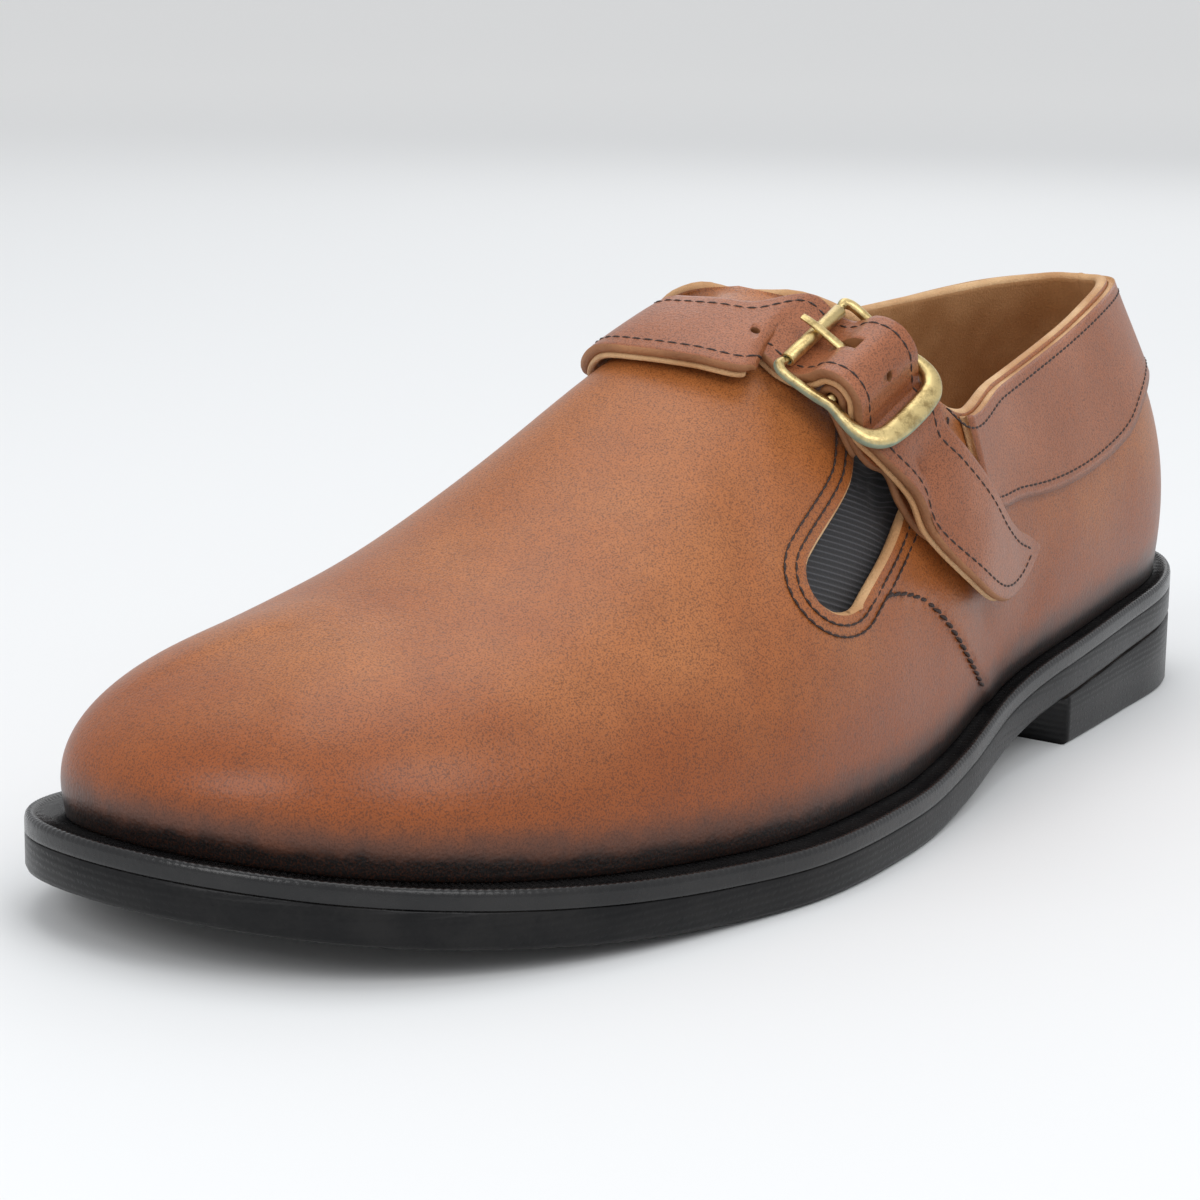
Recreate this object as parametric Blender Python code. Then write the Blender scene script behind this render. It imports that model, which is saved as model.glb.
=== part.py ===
"""A left monk strap shoe, modelled piece by piece in metres.

The toe points along +X, the wearer's outer (lateral) side is +Y and +Z is up. The origin is
the middle of the heel's rest face, so heel and forefoot stand on the plane z = 0.
"""

import math

import bmesh
import bpy
import numpy as np
from mathutils import Vector

# Driving dimensions of the sole.
SOLE_LENGTH = 0.300
BALL_WIDTH = 0.105
OUTSOLE_THICKNESS = 0.0060
WELT_THICKNESS = 0.0030
INSOLE_THICKNESS = 0.0045
HEEL_LENGTH = 0.084
HEEL_HEIGHT = 0.0098
HEEL_WEDGE = 0.0062
TOE_SPRING = 0.0090
FLAT_BACK = 0.55
FLAT_FRONT = 0.67
SPRING_POWER = 1.7
SOLE_EDGE_ROUND = 0.0010
GAP = 0.0003

# Driving dimensions of the upper.
INSTEP_HEIGHT = 0.098
UPPER_WALL = 0.0024
WELT_REACH = 0.0065

# Driving dimensions of the gores, the collar band and the straps.
GORE_WINDOW = 0.0136
GORE_OVERLAP = 0.0040
GORE_THICKNESS = 0.0014
GORE_CLEAR = 0.0013
BAND_THICKNESS = 0.0013
STRAP_WIDTH = 0.0190
STRAP_THICKNESS = 0.0030
BILLET_WIDTH = 0.0180
BILLET_THICKNESS = 0.0015

# Driving dimensions of the buckle: its length is from the roller's axis to the end bar's.
BUCKLE_LENGTH = 0.0225
BUCKLE_WIDTH = 0.0230
CENTRE_BAR_PLACE = 0.467
CENTRE_BAR_RADIUS = 0.0009
END_BAR_HEIGHT = 0.0026
ROLLER_RADIUS = 0.00135
ROLLER_WALL = 0.0005
ROLLER_LENGTH = 0.0175
PRONG_THICKNESS = 0.0011
PRONG_WIDTH = 0.0022
SLOT_CLEAR = 0.0004

# How finely the last is sampled: pairs of stations from heel to toe, steps up a section.
STATIONS = 44
RISE_STEPS = 11
THROAT_STATION = STATIONS // 2
STATION_CROWDING = 0.35
RIDGE_STEP = 0.01
BREAST_CLEAR = 0.01
TURN_STEP = 0.002
FEATHER_LIFT = OUTSOLE_THICKNESS + WELT_THICKNESS + 2 * GAP

# The sole's plan: share of the length, then lateral and medial shares of the ball width.
OUTLINE = (
    (0.000, 0.000, 0.000),
    (0.027, 0.167, -0.190),
    (0.083, 0.250, -0.280),
    (0.167, 0.290, -0.312),
    (0.267, 0.330, -0.290),
    (0.367, 0.364, -0.262),
    (0.467, 0.434, -0.280),
    (0.567, 0.494, -0.362),
    (0.667, 0.519, -0.462),
    (0.750, 0.489, -0.512),
    (0.833, 0.435, -0.529),
    (0.907, 0.339, -0.508),
    (0.960, 0.205, -0.432),
    (0.990, 0.035, -0.315),
    (1.000, -0.140, -0.140),
)

# How far the welt stands out past the upper: share of the length, share of WELT_REACH.
REACH = ((0.0, 0.60), (0.25, 0.62), (0.45, 0.72), (0.60, 0.95), (1.0, 1.0))

# The last's crown over the vamp, for a foot station at the first column: shares of the
# length, of the ball width and of the instep height.
RIDGE = (
    (0.500, 0.503, -0.010, 0.965),
    (0.600, 0.590, -0.020, 0.880),
    (0.700, 0.670, -0.038, 0.735),
    (0.800, 0.745, -0.065, 0.605),
    (0.880, 0.805, -0.088, 0.535),
    (0.950, 0.848, -0.112, 0.500),
    (1.000, 0.866, -0.122, 0.482),
)

# The collar's edge on the lateral and on the medial side, with the same columns.
COLLAR_LATERAL = (
    (0.000, 0.066, 0.000, 0.890),
    (0.050, 0.084, 0.080, 0.885),
    (0.120, 0.135, 0.128, 0.862),
    (0.220, 0.215, 0.172, 0.812),
    (0.330, 0.338, 0.238, 0.756),
    (0.400, 0.425, 0.304, 0.735),
    (0.430, 0.456, 0.298, 0.788),
    (0.460, 0.486, 0.228, 0.895),
    (0.480, 0.500, 0.128, 0.945),
    (0.500, 0.503, -0.010, 0.965),
)
COLLAR_MEDIAL = (
    (0.000, 0.066, 0.000, 0.890),
    (0.050, 0.084, -0.082, 0.887),
    (0.120, 0.135, -0.130, 0.880),
    (0.220, 0.218, -0.175, 0.858),
    (0.330, 0.330, -0.220, 0.828),
    (0.400, 0.410, -0.280, 0.788),
    (0.430, 0.446, -0.285, 0.828),
    (0.460, 0.482, -0.225, 0.903),
    (0.480, 0.498, -0.125, 0.946),
    (0.500, 0.503, -0.010, 0.965),
)

# The handles of each section's curve at a foot station: how far it first leans out on each
# side (share of WELT_REACH), how far it climbs (share of its height), and how far the crown
# reaches back out (shares of the distance between foot and crown) and drops (of its height).
SECTIONS = (
    (0.00, 0.70, 0.70, 0.50, 0.50, 0.50, 0.30),
    (0.15, 0.70, 0.65, 0.45, 0.62, 0.60, 0.30),
    (0.33, 0.60, 0.40, 0.40, 0.70, 0.65, 0.30),
    (0.40, 0.60, 0.40, 0.38, 0.66, 0.64, 0.24),
    (0.43, 0.60, 0.40, 0.38, 0.60, 0.60, 0.14),
    (0.46, 0.60, 0.42, 0.37, 0.58, 0.56, 0.07),
    (0.50, 0.65, 0.45, 0.36, 0.64, 0.58, 0.02),
    (0.60, 0.75, 0.60, 0.38, 0.62, 0.56, 0.00),
    (0.75, 0.90, 0.80, 0.45, 0.60, 0.58, 0.00),
    (0.90, 0.95, 0.90, 0.55, 0.60, 0.60, 0.00),
    (1.00, 0.95, 0.95, 0.58, 0.62, 0.62, 0.00),
)


# The middle line of a gore's window on each side of the last, from its round lower end up to
# the topline: share of the length, rise on the section.
GORE_LINE = (
    (0.618, 0.375),
    (0.590, 0.412),
    (0.555, 0.445),
    (0.525, 0.480),
    (0.498, 0.545),
    (0.474, 0.645),
)

# The lower edge of the collar band, on both sides of the heel.
BAND_EDGE = (
    (0.000, 0.620),
    (0.106, 0.570),
    (0.138, 0.520),
    (0.202, 0.500),
    (0.282, 0.530),
    (0.358, 0.600),
    (0.410, 0.660),
)
BAND_TOP = 0.985
BAND_FRONT_LATERAL = 0.395
BAND_FRONT_MEDIAL = 0.345
BAND_STATIONS = 14
BAND_STEPS = 4

# The strap's middle line on the last before the buckle: share of the length, how far over the
# foot (0 lateral feather, 1 ridge, 2 medial feather), height above the last and share of the
# strap's width.
STRAP_OVER_INSTEP = (
    (0.365, 1.270, 0.0022, 1.00),
    (0.420, 1.290, 0.0031, 1.00),
    (0.475, 1.300, 0.0034, 1.00),
    (0.530, 1.270, 0.0030, 1.00),
    (0.568, 1.180, 0.0024, 1.00),
    (0.583, 1.080, 0.0022, 1.00),
    (0.588, 0.980, 0.0022, 1.00),
    (0.580, 0.900, 0.0027, 1.00),
    (0.565, 0.830, 0.0032, 1.00),
)

# The strap's tail behind the buckle, with the same columns: it ends in a point.
STRAP_TAIL = (
    (0.492, 0.515, 0.0052, 1.00),
    (0.474, 0.480, 0.0043, 1.00),
    (0.440, 0.468, 0.0040, 0.94),
    (0.404, 0.462, 0.0034, 0.76),
    (0.374, 0.430, 0.0027, 0.48),
    (0.352, 0.405, 0.0023, 0.22),
    (0.344, 0.395, 0.0021, 0.06),
)

# How the strap weaves through the buckle, past its centre bar: share of BUCKLE_LENGTH, then a
# share of its height over the bar where positive, or of its depth under the roller.
STRAP_WEAVE = (
    (-0.720, -1.06),
    (-0.467, -1.00),
    (-0.310, -0.60),
    (-0.213, 0.13),
    (-0.142, 0.78),
    (0.000, 1.08),
    (0.151, 0.80),
    (0.245, 0.10),
    (0.345, -0.85),
    (0.533, -1.05),
)

# How the billet wraps the centre bar, from its upper layer round to its lower one, in shares of
# the wrap's radius along and across the buckle.
BILLET_WRAP = (
    (6.15, -3.55),
    (4.60, -3.15),
    (2.80, -1.90),
    (1.30, -0.10),
    (0.72, 0.72),
    (0.00, 1.00),
    (-0.72, 0.72),
    (-1.00, 0.00),
    (-0.72, -0.72),
    (0.15, -1.05),
    (1.85, -2.20),
    (3.30, -3.25),
    (4.40, -3.95),
)

# Where the billet leaves the quarter, with the columns of the strap's tables.
BILLET_ROOT = (
    (0.452, 0.480, 0.0011, 0.80),
    (0.470, 0.490, 0.0011, 0.95),
    (0.485, 0.515, 0.0013, 1.00),
    (0.496, 0.545, 0.0021, 1.00),
)

# Where the buckle's bars lie over the lateral side: share of the length, rise, height above.
ROLLER_PLACE = (0.534, 0.760, 0.0062)
END_BAR_PLACE = (0.518, 0.570, 0.0110)
BUCKLE_TILT = math.radians(12)

# Half of the buckle's frame, from the middle of the roller's bar round to the middle of the end
# bar: share of BUCKLE_LENGTH past the centre bar, share of half of BUCKLE_WIDTH, then the
# bar's half width in the frame's plane and across it as shares of END_BAR_HEIGHT / 2.
FRAME_HALF = (
    (-0.467, 0.00, 0.42, 0.42),
    (-0.467, 0.76, 0.42, 0.42),
    (-0.484, 0.86, 0.64, 0.62),
    (-0.480, 0.96, 0.74, 0.70),
    (-0.420, 1.02, 0.70, 0.66),
    (-0.270, 1.01, 0.66, 0.66),
    (-0.090, 0.96, 0.70, 0.70),
    (0.030, 0.91, 0.74, 0.74),
    (0.140, 0.95, 0.80, 0.80),
    (0.290, 0.99, 1.00, 0.86),
    (0.420, 0.92, 1.30, 0.93),
    (0.505, 0.70, 1.54, 1.00),
    (0.533, 0.35, 1.66, 1.00),
    (0.537, 0.00, 1.70, 1.00),
)
FRAME_SAMPLES = 3
FRAME_SIDES = 8

# The gore windows: each is drawn in a plane that leans with the side of the shoe, squeezed along
# the foot, and runs out past the topline by this many steps of its line.
SIDE_TILT = math.radians(28)
WINDOW_SQUEEZE = 0.75
WINDOW_DEPTH = 0.012
GORE_RUN_OUT = 2.2
GORE_END_TURNS = (-90, -60, -30, 0, 30, 60, 90)
GORE_SAMPLES = 2

# The round lower end of a gore's panel, and the least rise from it to the panel's next row.
ROUND_END_TURNS = (15, 40, 65, 90)
GORE_STEP = 0.012

# The prong's side view, round the centre bar and out over the roller: the turns of its ring,
# then shares of BUCKLE_LENGTH along and of the roller's clearance up.
PRONG_RING_TURNS = (-150, -105, -60, -15, 30, 65, 90)
PRONG_REACH = ((-0.15, 0.90), (-0.31, 0.97), (-0.467, 1.00), (-0.570, 0.93), (-0.625, 0.82))

# Where the strap is slotted for the billet and the prong, in shares of BUCKLE_LENGTH.
STRAP_SLOT = (-0.31, -0.06)

# How finely the straps are sampled, and how they are seated on the upper.
RIBBON_COLUMNS = (-1.0, -0.55, 0.0, 0.55, 1.0)
RIBBON_SAMPLES = 3
SEAT_ROUNDS = 6
SEAT_REACH = 0.06


def clear_scene():
    """Empty the scene, keeping the file that holds this script open."""
    for obj in list(bpy.data.objects):
        bpy.data.objects.remove(obj, do_unlink=True)


def material(name, colour, roughness, metallic=0.0):
    """A plain finish of one colour."""
    made = bpy.data.materials.new(name)
    made.use_nodes = True
    shader = made.node_tree.nodes["Principled BSDF"]
    shader.inputs["Base Color"].default_value = (*colour, 1.0)
    shader.inputs["Roughness"].default_value = roughness
    shader.inputs["Metallic"].default_value = metallic
    made.diffuse_color = (*colour, 1.0)
    return made


def turn_of(along):
    """The angle whose cosine spaces the stations closely at heel and toe."""
    return math.acos(max(-1.0, min(1.0, 1.0 - 2.0 * along)))


def smooth_table(rows, column, along):
    """One column of a table at a share of the length, on a smooth curve through its rows."""
    at = turn_of(along)
    places = np.array([turn_of(row[0]) for row in rows])
    values = np.array([row[column] for row in rows], float)
    slopes = np.gradient(values, places)
    i = int(np.clip(np.searchsorted(places, at) - 1, 0, len(places) - 2))
    step = places[i + 1] - places[i]
    t = (at - places[i]) / step
    ahead = t * t * (3 - 2 * t)
    return float(
        values[i] * (1 - ahead)
        + values[i + 1] * ahead
        + step * t * (1 - t) * (slopes[i] * (1 - t) - slopes[i + 1] * t)
    )


def along_of(station):
    """Share of the sole's length at a station: they crowd at heel, throat and toe."""
    share = station / STATIONS
    crowd = STATION_CROWDING * math.sin(4 * math.pi * share) / 4
    return 0.5 * (1.0 - math.cos(math.pi * share - crowd))


def sole_x(along):
    """World x of a share of the sole's length."""
    return along * SOLE_LENGTH - HEEL_LENGTH / 2


def outline_point(turn, side):
    """A point of the sole's edge, past either end on the other side: 1 lateral, 2 medial."""
    if turn < 0.0 or turn > math.pi:
        turn = -turn if turn < 0.0 else 2 * math.pi - turn
        side = 3 - side
    along = 0.5 * (1.0 - math.cos(turn))
    return np.array([sole_x(along), smooth_table(OUTLINE, side, along) * BALL_WIDTH])


def inset_point(along, side, inset):
    """A point at a distance inside the sole's edge, and the outward direction there."""
    turn = turn_of(along)
    ahead = outline_point(turn + TURN_STEP, side) - outline_point(turn - TURN_STEP, side)
    outward = np.array([-ahead[1], ahead[0]]) / np.linalg.norm(ahead)
    if side == 2:
        outward = -outward
    return outline_point(turn, side) - outward * inset, outward


def sole_bottom(x):
    """Height of the outsole's underside at world x: heel seat, arch, flat, toe spring."""
    along = (x + HEEL_LENGTH / 2) / SOLE_LENGTH
    breast = HEEL_LENGTH / SOLE_LENGTH
    slope = HEEL_WEDGE / breast
    if along <= breast:
        return HEEL_HEIGHT + slope * (breast - along)
    if along < FLAT_BACK:
        span = FLAT_BACK - breast
        t = (FLAT_BACK - along) / span
        return HEEL_HEIGHT * t * t * (3 - 2 * t) + slope * span * t * t * (t - 1)
    if along <= FLAT_FRONT:
        return 0.0
    return TOE_SPRING * ((along - FLAT_FRONT) / (1.0 - FLAT_FRONT)) ** SPRING_POWER


def ring_stations():
    """(station, side) all round the shoe from the heel's back, over the lateral side."""
    lateral = [(station, 1) for station in range(STATIONS + 1)]
    medial = [(station, 2) for station in range(STATIONS - 1, 0, -1)]
    return lateral + medial


def plan_ring(inset):
    """The outline all round, moved inward by a distance that follows the share of length."""
    stations = [(along_of(station), side) for station, side in ring_stations()]
    return np.array([inset_point(along, side, inset(along))[0] for along, side in stations])


def welt_reach(along):
    """How far the upper's foot stands in from the sole's edge."""
    return WELT_REACH * smooth_table(REACH, 1, along)


def flat_inset(distance):
    """An inset that is the same all round."""
    return lambda along: distance


def new_object(name, points, faces, finish):
    """An object of one mesh, faces made to point outward, smooth but for its sharp edges."""
    mesh = bpy.data.meshes.new(name)
    mesh.from_pydata([tuple(p) for p in points], [], faces)
    work = bmesh.new()
    work.from_mesh(mesh)
    bmesh.ops.recalc_face_normals(work, faces=work.faces)
    if work.calc_volume(signed=True) < 0:
        bmesh.ops.reverse_faces(work, faces=work.faces)
    work.to_mesh(mesh)
    work.free()
    mesh.shade_smooth()
    mesh.set_sharp_from_angle(angle=math.radians(40))
    if finish is not None:
        mesh.materials.append(finish)
    obj = bpy.data.objects.new(name, mesh)
    bpy.context.scene.collection.objects.link(obj)
    return obj


def pair_strip(ring, first):
    """Quads between the lateral and medial points of one ring, heel to toe."""
    count = len(ring)
    faces = []
    for k in range(STATIONS):
        a, b = k, k + 1
        c, d = (count - k - 1) % count, (count - k) % count
        corners = [a, b] + ([] if k + 1 == STATIONS else [c]) + ([] if k == 0 else [d])
        faces.append([first + corner for corner in corners])
    return faces


def stack_rings(rings):
    """Quads that join each ring to the next."""
    count = len(rings[0])
    faces = []
    for level in range(len(rings) - 1):
        low, high = level * count, (level + 1) * count
        for i in range(count):
            j = (i + 1) % count
            faces.append([low + i, low + j, high + j, high + i])
    return faces


def raised(ring, lift):
    """A plan ring at a height above the outsole's underside."""
    return [(x, y, sole_bottom(x) + lift) for x, y in ring]


def plate(name, rings, finish):
    """A solid between the first and the last ring, closed across both."""
    points = [p for ring in rings for p in ring]
    last = (len(rings) - 1) * len(rings[0])
    faces = stack_rings(rings) + pair_strip(rings[0], 0) + pair_strip(rings[-1], last)
    return new_object(name, points, faces, finish)


def make_outsole(finish):
    """The outsole: full outline, eased lower edge, flush with welt and heel."""
    edge = plan_ring(flat_inset(0.0))
    eased = plan_ring(flat_inset(SOLE_EDGE_ROUND))
    rings = [
        raised(eased, 0.0),
        raised(edge, SOLE_EDGE_ROUND),
        raised(edge, OUTSOLE_THICKNESS),
    ]
    return plate("outsole", rings, finish)


def make_welt(finish):
    """The welt: a ring under the upper's wall, with a raised bead along its outer edge."""
    low = OUTSOLE_THICKNESS + GAP
    high = low + WELT_THICKNESS
    bead = SOLE_EDGE_ROUND
    edge = plan_ring(flat_inset(0.0))
    crest = plan_ring(flat_inset(bead))
    trough = plan_ring(flat_inset(2 * bead))
    inner = plan_ring(lambda along: welt_reach(along) + UPPER_WALL)
    rings = [
        raised(inner, low),
        raised(edge, low),
        raised(edge, high),
        raised(crest, high + bead / 2),
        raised(trough, high),
        raised(inner, high),
    ]
    count = len(edge)
    points = [p for ring in rings for p in ring]
    faces = stack_rings(rings)
    last = (len(rings) - 1) * count
    for i in range(count):
        j = (i + 1) % count
        faces.append([last + i, last + j, j, i])
    return new_object("welt", points, faces, finish)


def make_heel(finish):
    """The heel block: the sole's outline behind a straight breast, wedge shaped on top."""
    breast = HEEL_LENGTH / SOLE_LENGTH
    behind = [along_of(s) for s in range(1, STATIONS)]
    places = [along for along in behind if along < breast - BREAST_CLEAR] + [breast]
    corners = [(0.0, 1)] + [(along, 1) for along in places] + [(along, 2) for along in places[::-1]]
    ring = [inset_point(along, side, 0.0)[0] for along, side in corners]
    eased = [inset_point(along, side, SOLE_EDGE_ROUND / 2)[0] for along, side in corners]
    rings = [
        [(x, y, 0.0) for x, y in eased],
        [(x, y, SOLE_EDGE_ROUND / 2) for x, y in ring],
        [(x, y, sole_bottom(x) - GAP) for x, y in ring],
    ]
    points = [p for level in rings for p in level]
    count = len(ring)
    faces = stack_rings(rings)
    for first in (0, 2 * count):
        for k in range(len(places)):
            a, b = k, k + 1
            c, d = count - k - 1, (count - k) % count
            corners = [a, b, c] + ([] if k == 0 else [d])
            faces.append([first + corner for corner in corners])
    return new_object("heel", points, faces, finish)


def make_insole(finish):
    """The insole board and sock, on the outsole inside the upper's wall."""
    clear = UPPER_WALL + 2 * GAP
    edge = plan_ring(lambda along: welt_reach(along) + clear)
    low = OUTSOLE_THICKNESS + GAP
    rings = [raised(edge, low), raised(edge, low + INSOLE_THICKNESS)]
    return plate("insole", rings, finish)


def crown_point(along, side):
    """Where a section ends: on the vamp's ridge, or on the collar's edge behind it."""
    table = RIDGE
    if along < RIDGE[0][0]:
        table = COLLAR_LATERAL if side == 1 else COLLAR_MEDIAL
    x = sole_x(smooth_table(table, 1, along))
    y = smooth_table(table, 2, along) * BALL_WIDTH
    z = smooth_table(table, 3, along) * INSTEP_HEIGHT
    return np.array([x, y, z])


def ridge_slope(along):
    """How fast the vamp's ridge climbs along X where a section of the vamp ends."""
    if along < RIDGE[0][0]:
        return 0.0
    low, high = max(along - RIDGE_STEP, RIDGE[0][0]), min(along + RIDGE_STEP, 1.0)
    behind, ahead = crown_point(low, 1), crown_point(high, 1)
    return (ahead[2] - behind[2]) / (ahead[0] - behind[0])


def section(along, side):
    """The four handles of the last's section at a foot station, from feather to crown."""
    (x, y), (out_x, out_y) = inset_point(along, side, welt_reach(along))
    start = np.array([x, y, sole_bottom(x) + FEATHER_LIFT])
    crown = crown_point(along, side)
    rise = crown[2] - start[2]
    away = start - crown
    away[2] = 0.0
    lean = WELT_REACH * smooth_table(SECTIONS, side, along)
    climb = rise * smooth_table(SECTIONS, 3, along)
    back = smooth_table(SECTIONS, 3 + side, along)
    fall = rise * smooth_table(SECTIONS, 6, along) - ridge_slope(along) * away[0] * back
    first = start + np.array([out_x * lean, out_y * lean, climb])
    second = crown + away * back - np.array([0.0, 0.0, fall])
    return start, first, second, crown


def last_point(along, side, rise):
    """A point of the upper's outer face: rise runs from 0 at the feather to 1 at the crown."""
    start, first, second, crown = section(along, side)
    left = 1.0 - rise
    return (
        left**3 * start
        + 3 * left * left * rise * first
        + 3 * left * rise * rise * second
        + rise**3 * crown
    )


def last_normal(along, side, rise):
    """The outward direction of the upper's face at a point of it."""
    step = TURN_STEP
    ahead = last_point(along + step, side, rise) - last_point(along - step, side, rise)
    up = last_point(along, side, rise + step) - last_point(along, side, rise - step)
    way = np.cross(up, ahead) if side == 1 else np.cross(ahead, up)
    return way / np.linalg.norm(way)


def last_grid():
    """The points of the last's surface, the faces between them and each point's index."""
    points = []
    index = {}

    def corner(station, side, step):
        if station in (0, STATIONS) or (step == RISE_STEPS and station >= THROAT_STATION):
            side = 1
        key = (station, side, step)
        if key not in index:
            index[key] = len(points)
            points.append(last_point(along_of(station), side, step / RISE_STEPS))
        return index[key]

    faces = []
    for side in (1, 2):
        for station in range(STATIONS):
            for step in range(RISE_STEPS):
                quad = [
                    corner(station, side, step),
                    corner(station + 1, side, step),
                    corner(station + 1, side, step + 1),
                    corner(station, side, step + 1),
                ]
                faces.append(quad if side == 2 else quad[::-1])
    return points, faces, index


def surface_normals(points, faces):
    """The outward direction at each point of the last's surface."""
    normals = np.zeros((len(points), 3))
    points = np.array(points)
    for face in faces:
        a, b, c, d = (points[i] for i in face)
        way = np.cross(c - a, d - b)
        for i in face:
            normals[i] += way
    return normals / np.linalg.norm(normals, axis=1)[:, None]


def level_feather(points, normals, index):
    """Turn the normals along the foot so that the wall's lower rim follows the welt's top."""
    for (_, _, step), i in index.items():
        if step == 0:
            normals[i][2] = 0.0
            normals[i] /= np.linalg.norm(normals[i])
            x = points[i][0]
            fall = sole_bottom(x) - sole_bottom(x - normals[i][0] * UPPER_WALL)
            normals[i][2] = fall / UPPER_WALL


def shell(name, points, normals, faces, outer, inner, finish):
    """A closed wall between two offsets of a surface, with its open edges rimmed."""
    used = sorted({i for face in faces for i in face})
    place = {old: new for new, old in enumerate(used)}
    count = len(used)
    outside = [points[i] + normals[i] * outer for i in used]
    inside = [points[i] + normals[i] * inner for i in used]
    edges = {}
    walls = []
    for face in faces:
        loop = [place[i] for i in face]
        walls.append(loop)
        walls.append([i + count for i in reversed(loop)])
        for a, b in zip(loop, loop[1:] + loop[:1]):
            edges[a, b] = edges.get((a, b), 0) + 1
    for a, b in edges:
        if (b, a) not in edges:
            walls.append([b, a, a + count, b + count])
    return new_object(name, outside + inside, walls, finish)


def across_ridge(along, side, rise):
    """A place on the last, counted from the other side where it lies past the vamp's ridge."""
    if rise > 1.0 and along >= RIDGE[0][0]:
        return along, 3 - side, 2.0 - rise
    return along, side, rise


def over_foot(along, over):
    """A place from how far it lies over the foot: 0 lateral feather, 1 top, 2 medial feather."""
    return (along, 1, over) if over <= 1.0 else (along, 2, 2.0 - over)


def seat(point, along, side, rise):
    """The place on the last nearest to a point, looked for from a place close to it."""
    step = TURN_STEP
    for _ in range(SEAT_ROUNDS):
        here = last_point(along, side, rise)
        ahead = (last_point(along + step, side, rise) - here) / step
        up = (last_point(along, side, rise + step) - here) / step
        move = np.linalg.lstsq(np.array([ahead, up]).T, point - here, rcond=None)[0]
        move = np.clip(move, -SEAT_REACH, SEAT_REACH)
        along, side, rise = across_ridge(along + float(move[0]), side, rise + float(move[1]))
    return along, side, rise


def smooth_rows(rows, samples):
    """Rows of points or numbers, with extra rows between them on a smooth curve."""
    rows = np.array(rows, float)
    flat = rows.reshape(len(rows), -1)
    chords = np.maximum(np.linalg.norm(np.diff(flat, axis=0), axis=1), TURN_STEP**2)
    places = np.concatenate([[0.0], np.cumsum(np.sqrt(chords))])
    slopes = np.gradient(flat, places, axis=0)
    made = []
    for i, step in enumerate(np.diff(places)):
        for k in range(samples):
            t = k / samples
            ahead = t * t * (3 - 2 * t)
            bend = slopes[i] * (1 - t) - slopes[i + 1] * t
            made.append(flat[i] * (1 - ahead) + flat[i + 1] * ahead + step * t * (1 - t) * bend)
    made.append(flat[-1])
    return np.array(made).reshape(-1, *rows.shape[1:])


def seated_rows(rows, width, columns=RIBBON_COLUMNS):
    """Rows of points across a strip that lies on the last: each row is a place on the last, its
    height above it and its share of the width."""
    middles = [last_point(*place) for place, _, _ in rows]
    ways = np.gradient(np.array(middles), axis=0)
    made = []
    for (start, height, share), middle, way in zip(rows, middles, ways):
        across = np.cross(last_normal(*start), way)
        across /= np.linalg.norm(across)
        places = [seat(middle + across * column * share * width / 2, *start) for column in columns]
        made.append([last_point(*place) + last_normal(*place) * height for place in places])
    return np.array(made)


def strip_rows(table, width):
    """Rows of points across a strip from a table of its middle line over the foot."""
    rows = [(over_foot(along, over), height, share) for along, over, height, share in table]
    return seated_rows(rows, width)


def grid_faces(rows, columns):
    """Quads of a grid of points, row by row."""
    return [
        [r * columns + c, r * columns + c + 1, (r + 1) * columns + c + 1, (r + 1) * columns + c]
        for r in range(rows - 1)
        for c in range(columns - 1)
    ]


def sheet(name, rows, outer, inner, finish):
    """A closed strip between two offsets of a grid of points, along the grid's own normals."""
    rows = np.array(rows)
    points = rows.reshape(-1, 3)
    faces = grid_faces(rows.shape[0], rows.shape[1])
    return shell(name, list(points), surface_normals(points, faces), faces, outer, inner, finish)


def facing_out(rows, side):
    """A grid of points in the column order whose normals leave the shoe on that side."""
    middle = rows[len(rows) // 2]
    way = rows[len(rows) // 2 + 1][0] - middle[0]
    across = middle[-1] - middle[0]
    outward = np.array([0.0, 1.0 if side == 1 else -1.0, 0.0])
    return rows if np.cross(across, way) @ outward > 0 else rows[:, ::-1]


def gore_places(side, half, lower):
    """Places along a gore's line with their share of its width: its lower end is round and
    reaches down by a length."""
    line = smooth_rows(GORE_LINE, GORE_SAMPLES)
    ends = [last_point(along, side, rise) for along, rise in line[:2]]
    back = (line[0] - line[1]) / np.linalg.norm(ends[0] - ends[1])
    start = line[0] + back * lower
    rows = []
    for turn in ROUND_END_TURNS:
        angle = math.radians(turn)
        along, rise = start - back * half * (1 - math.cos(angle))
        rows.append(((along, side, rise), 0.0, math.sin(angle)))
    past = (start - back * half)[1] + GORE_STEP
    rows += [((a, side, rise), 0.0, 1.0) for a, rise in line if rise > past]
    return rows


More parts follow.
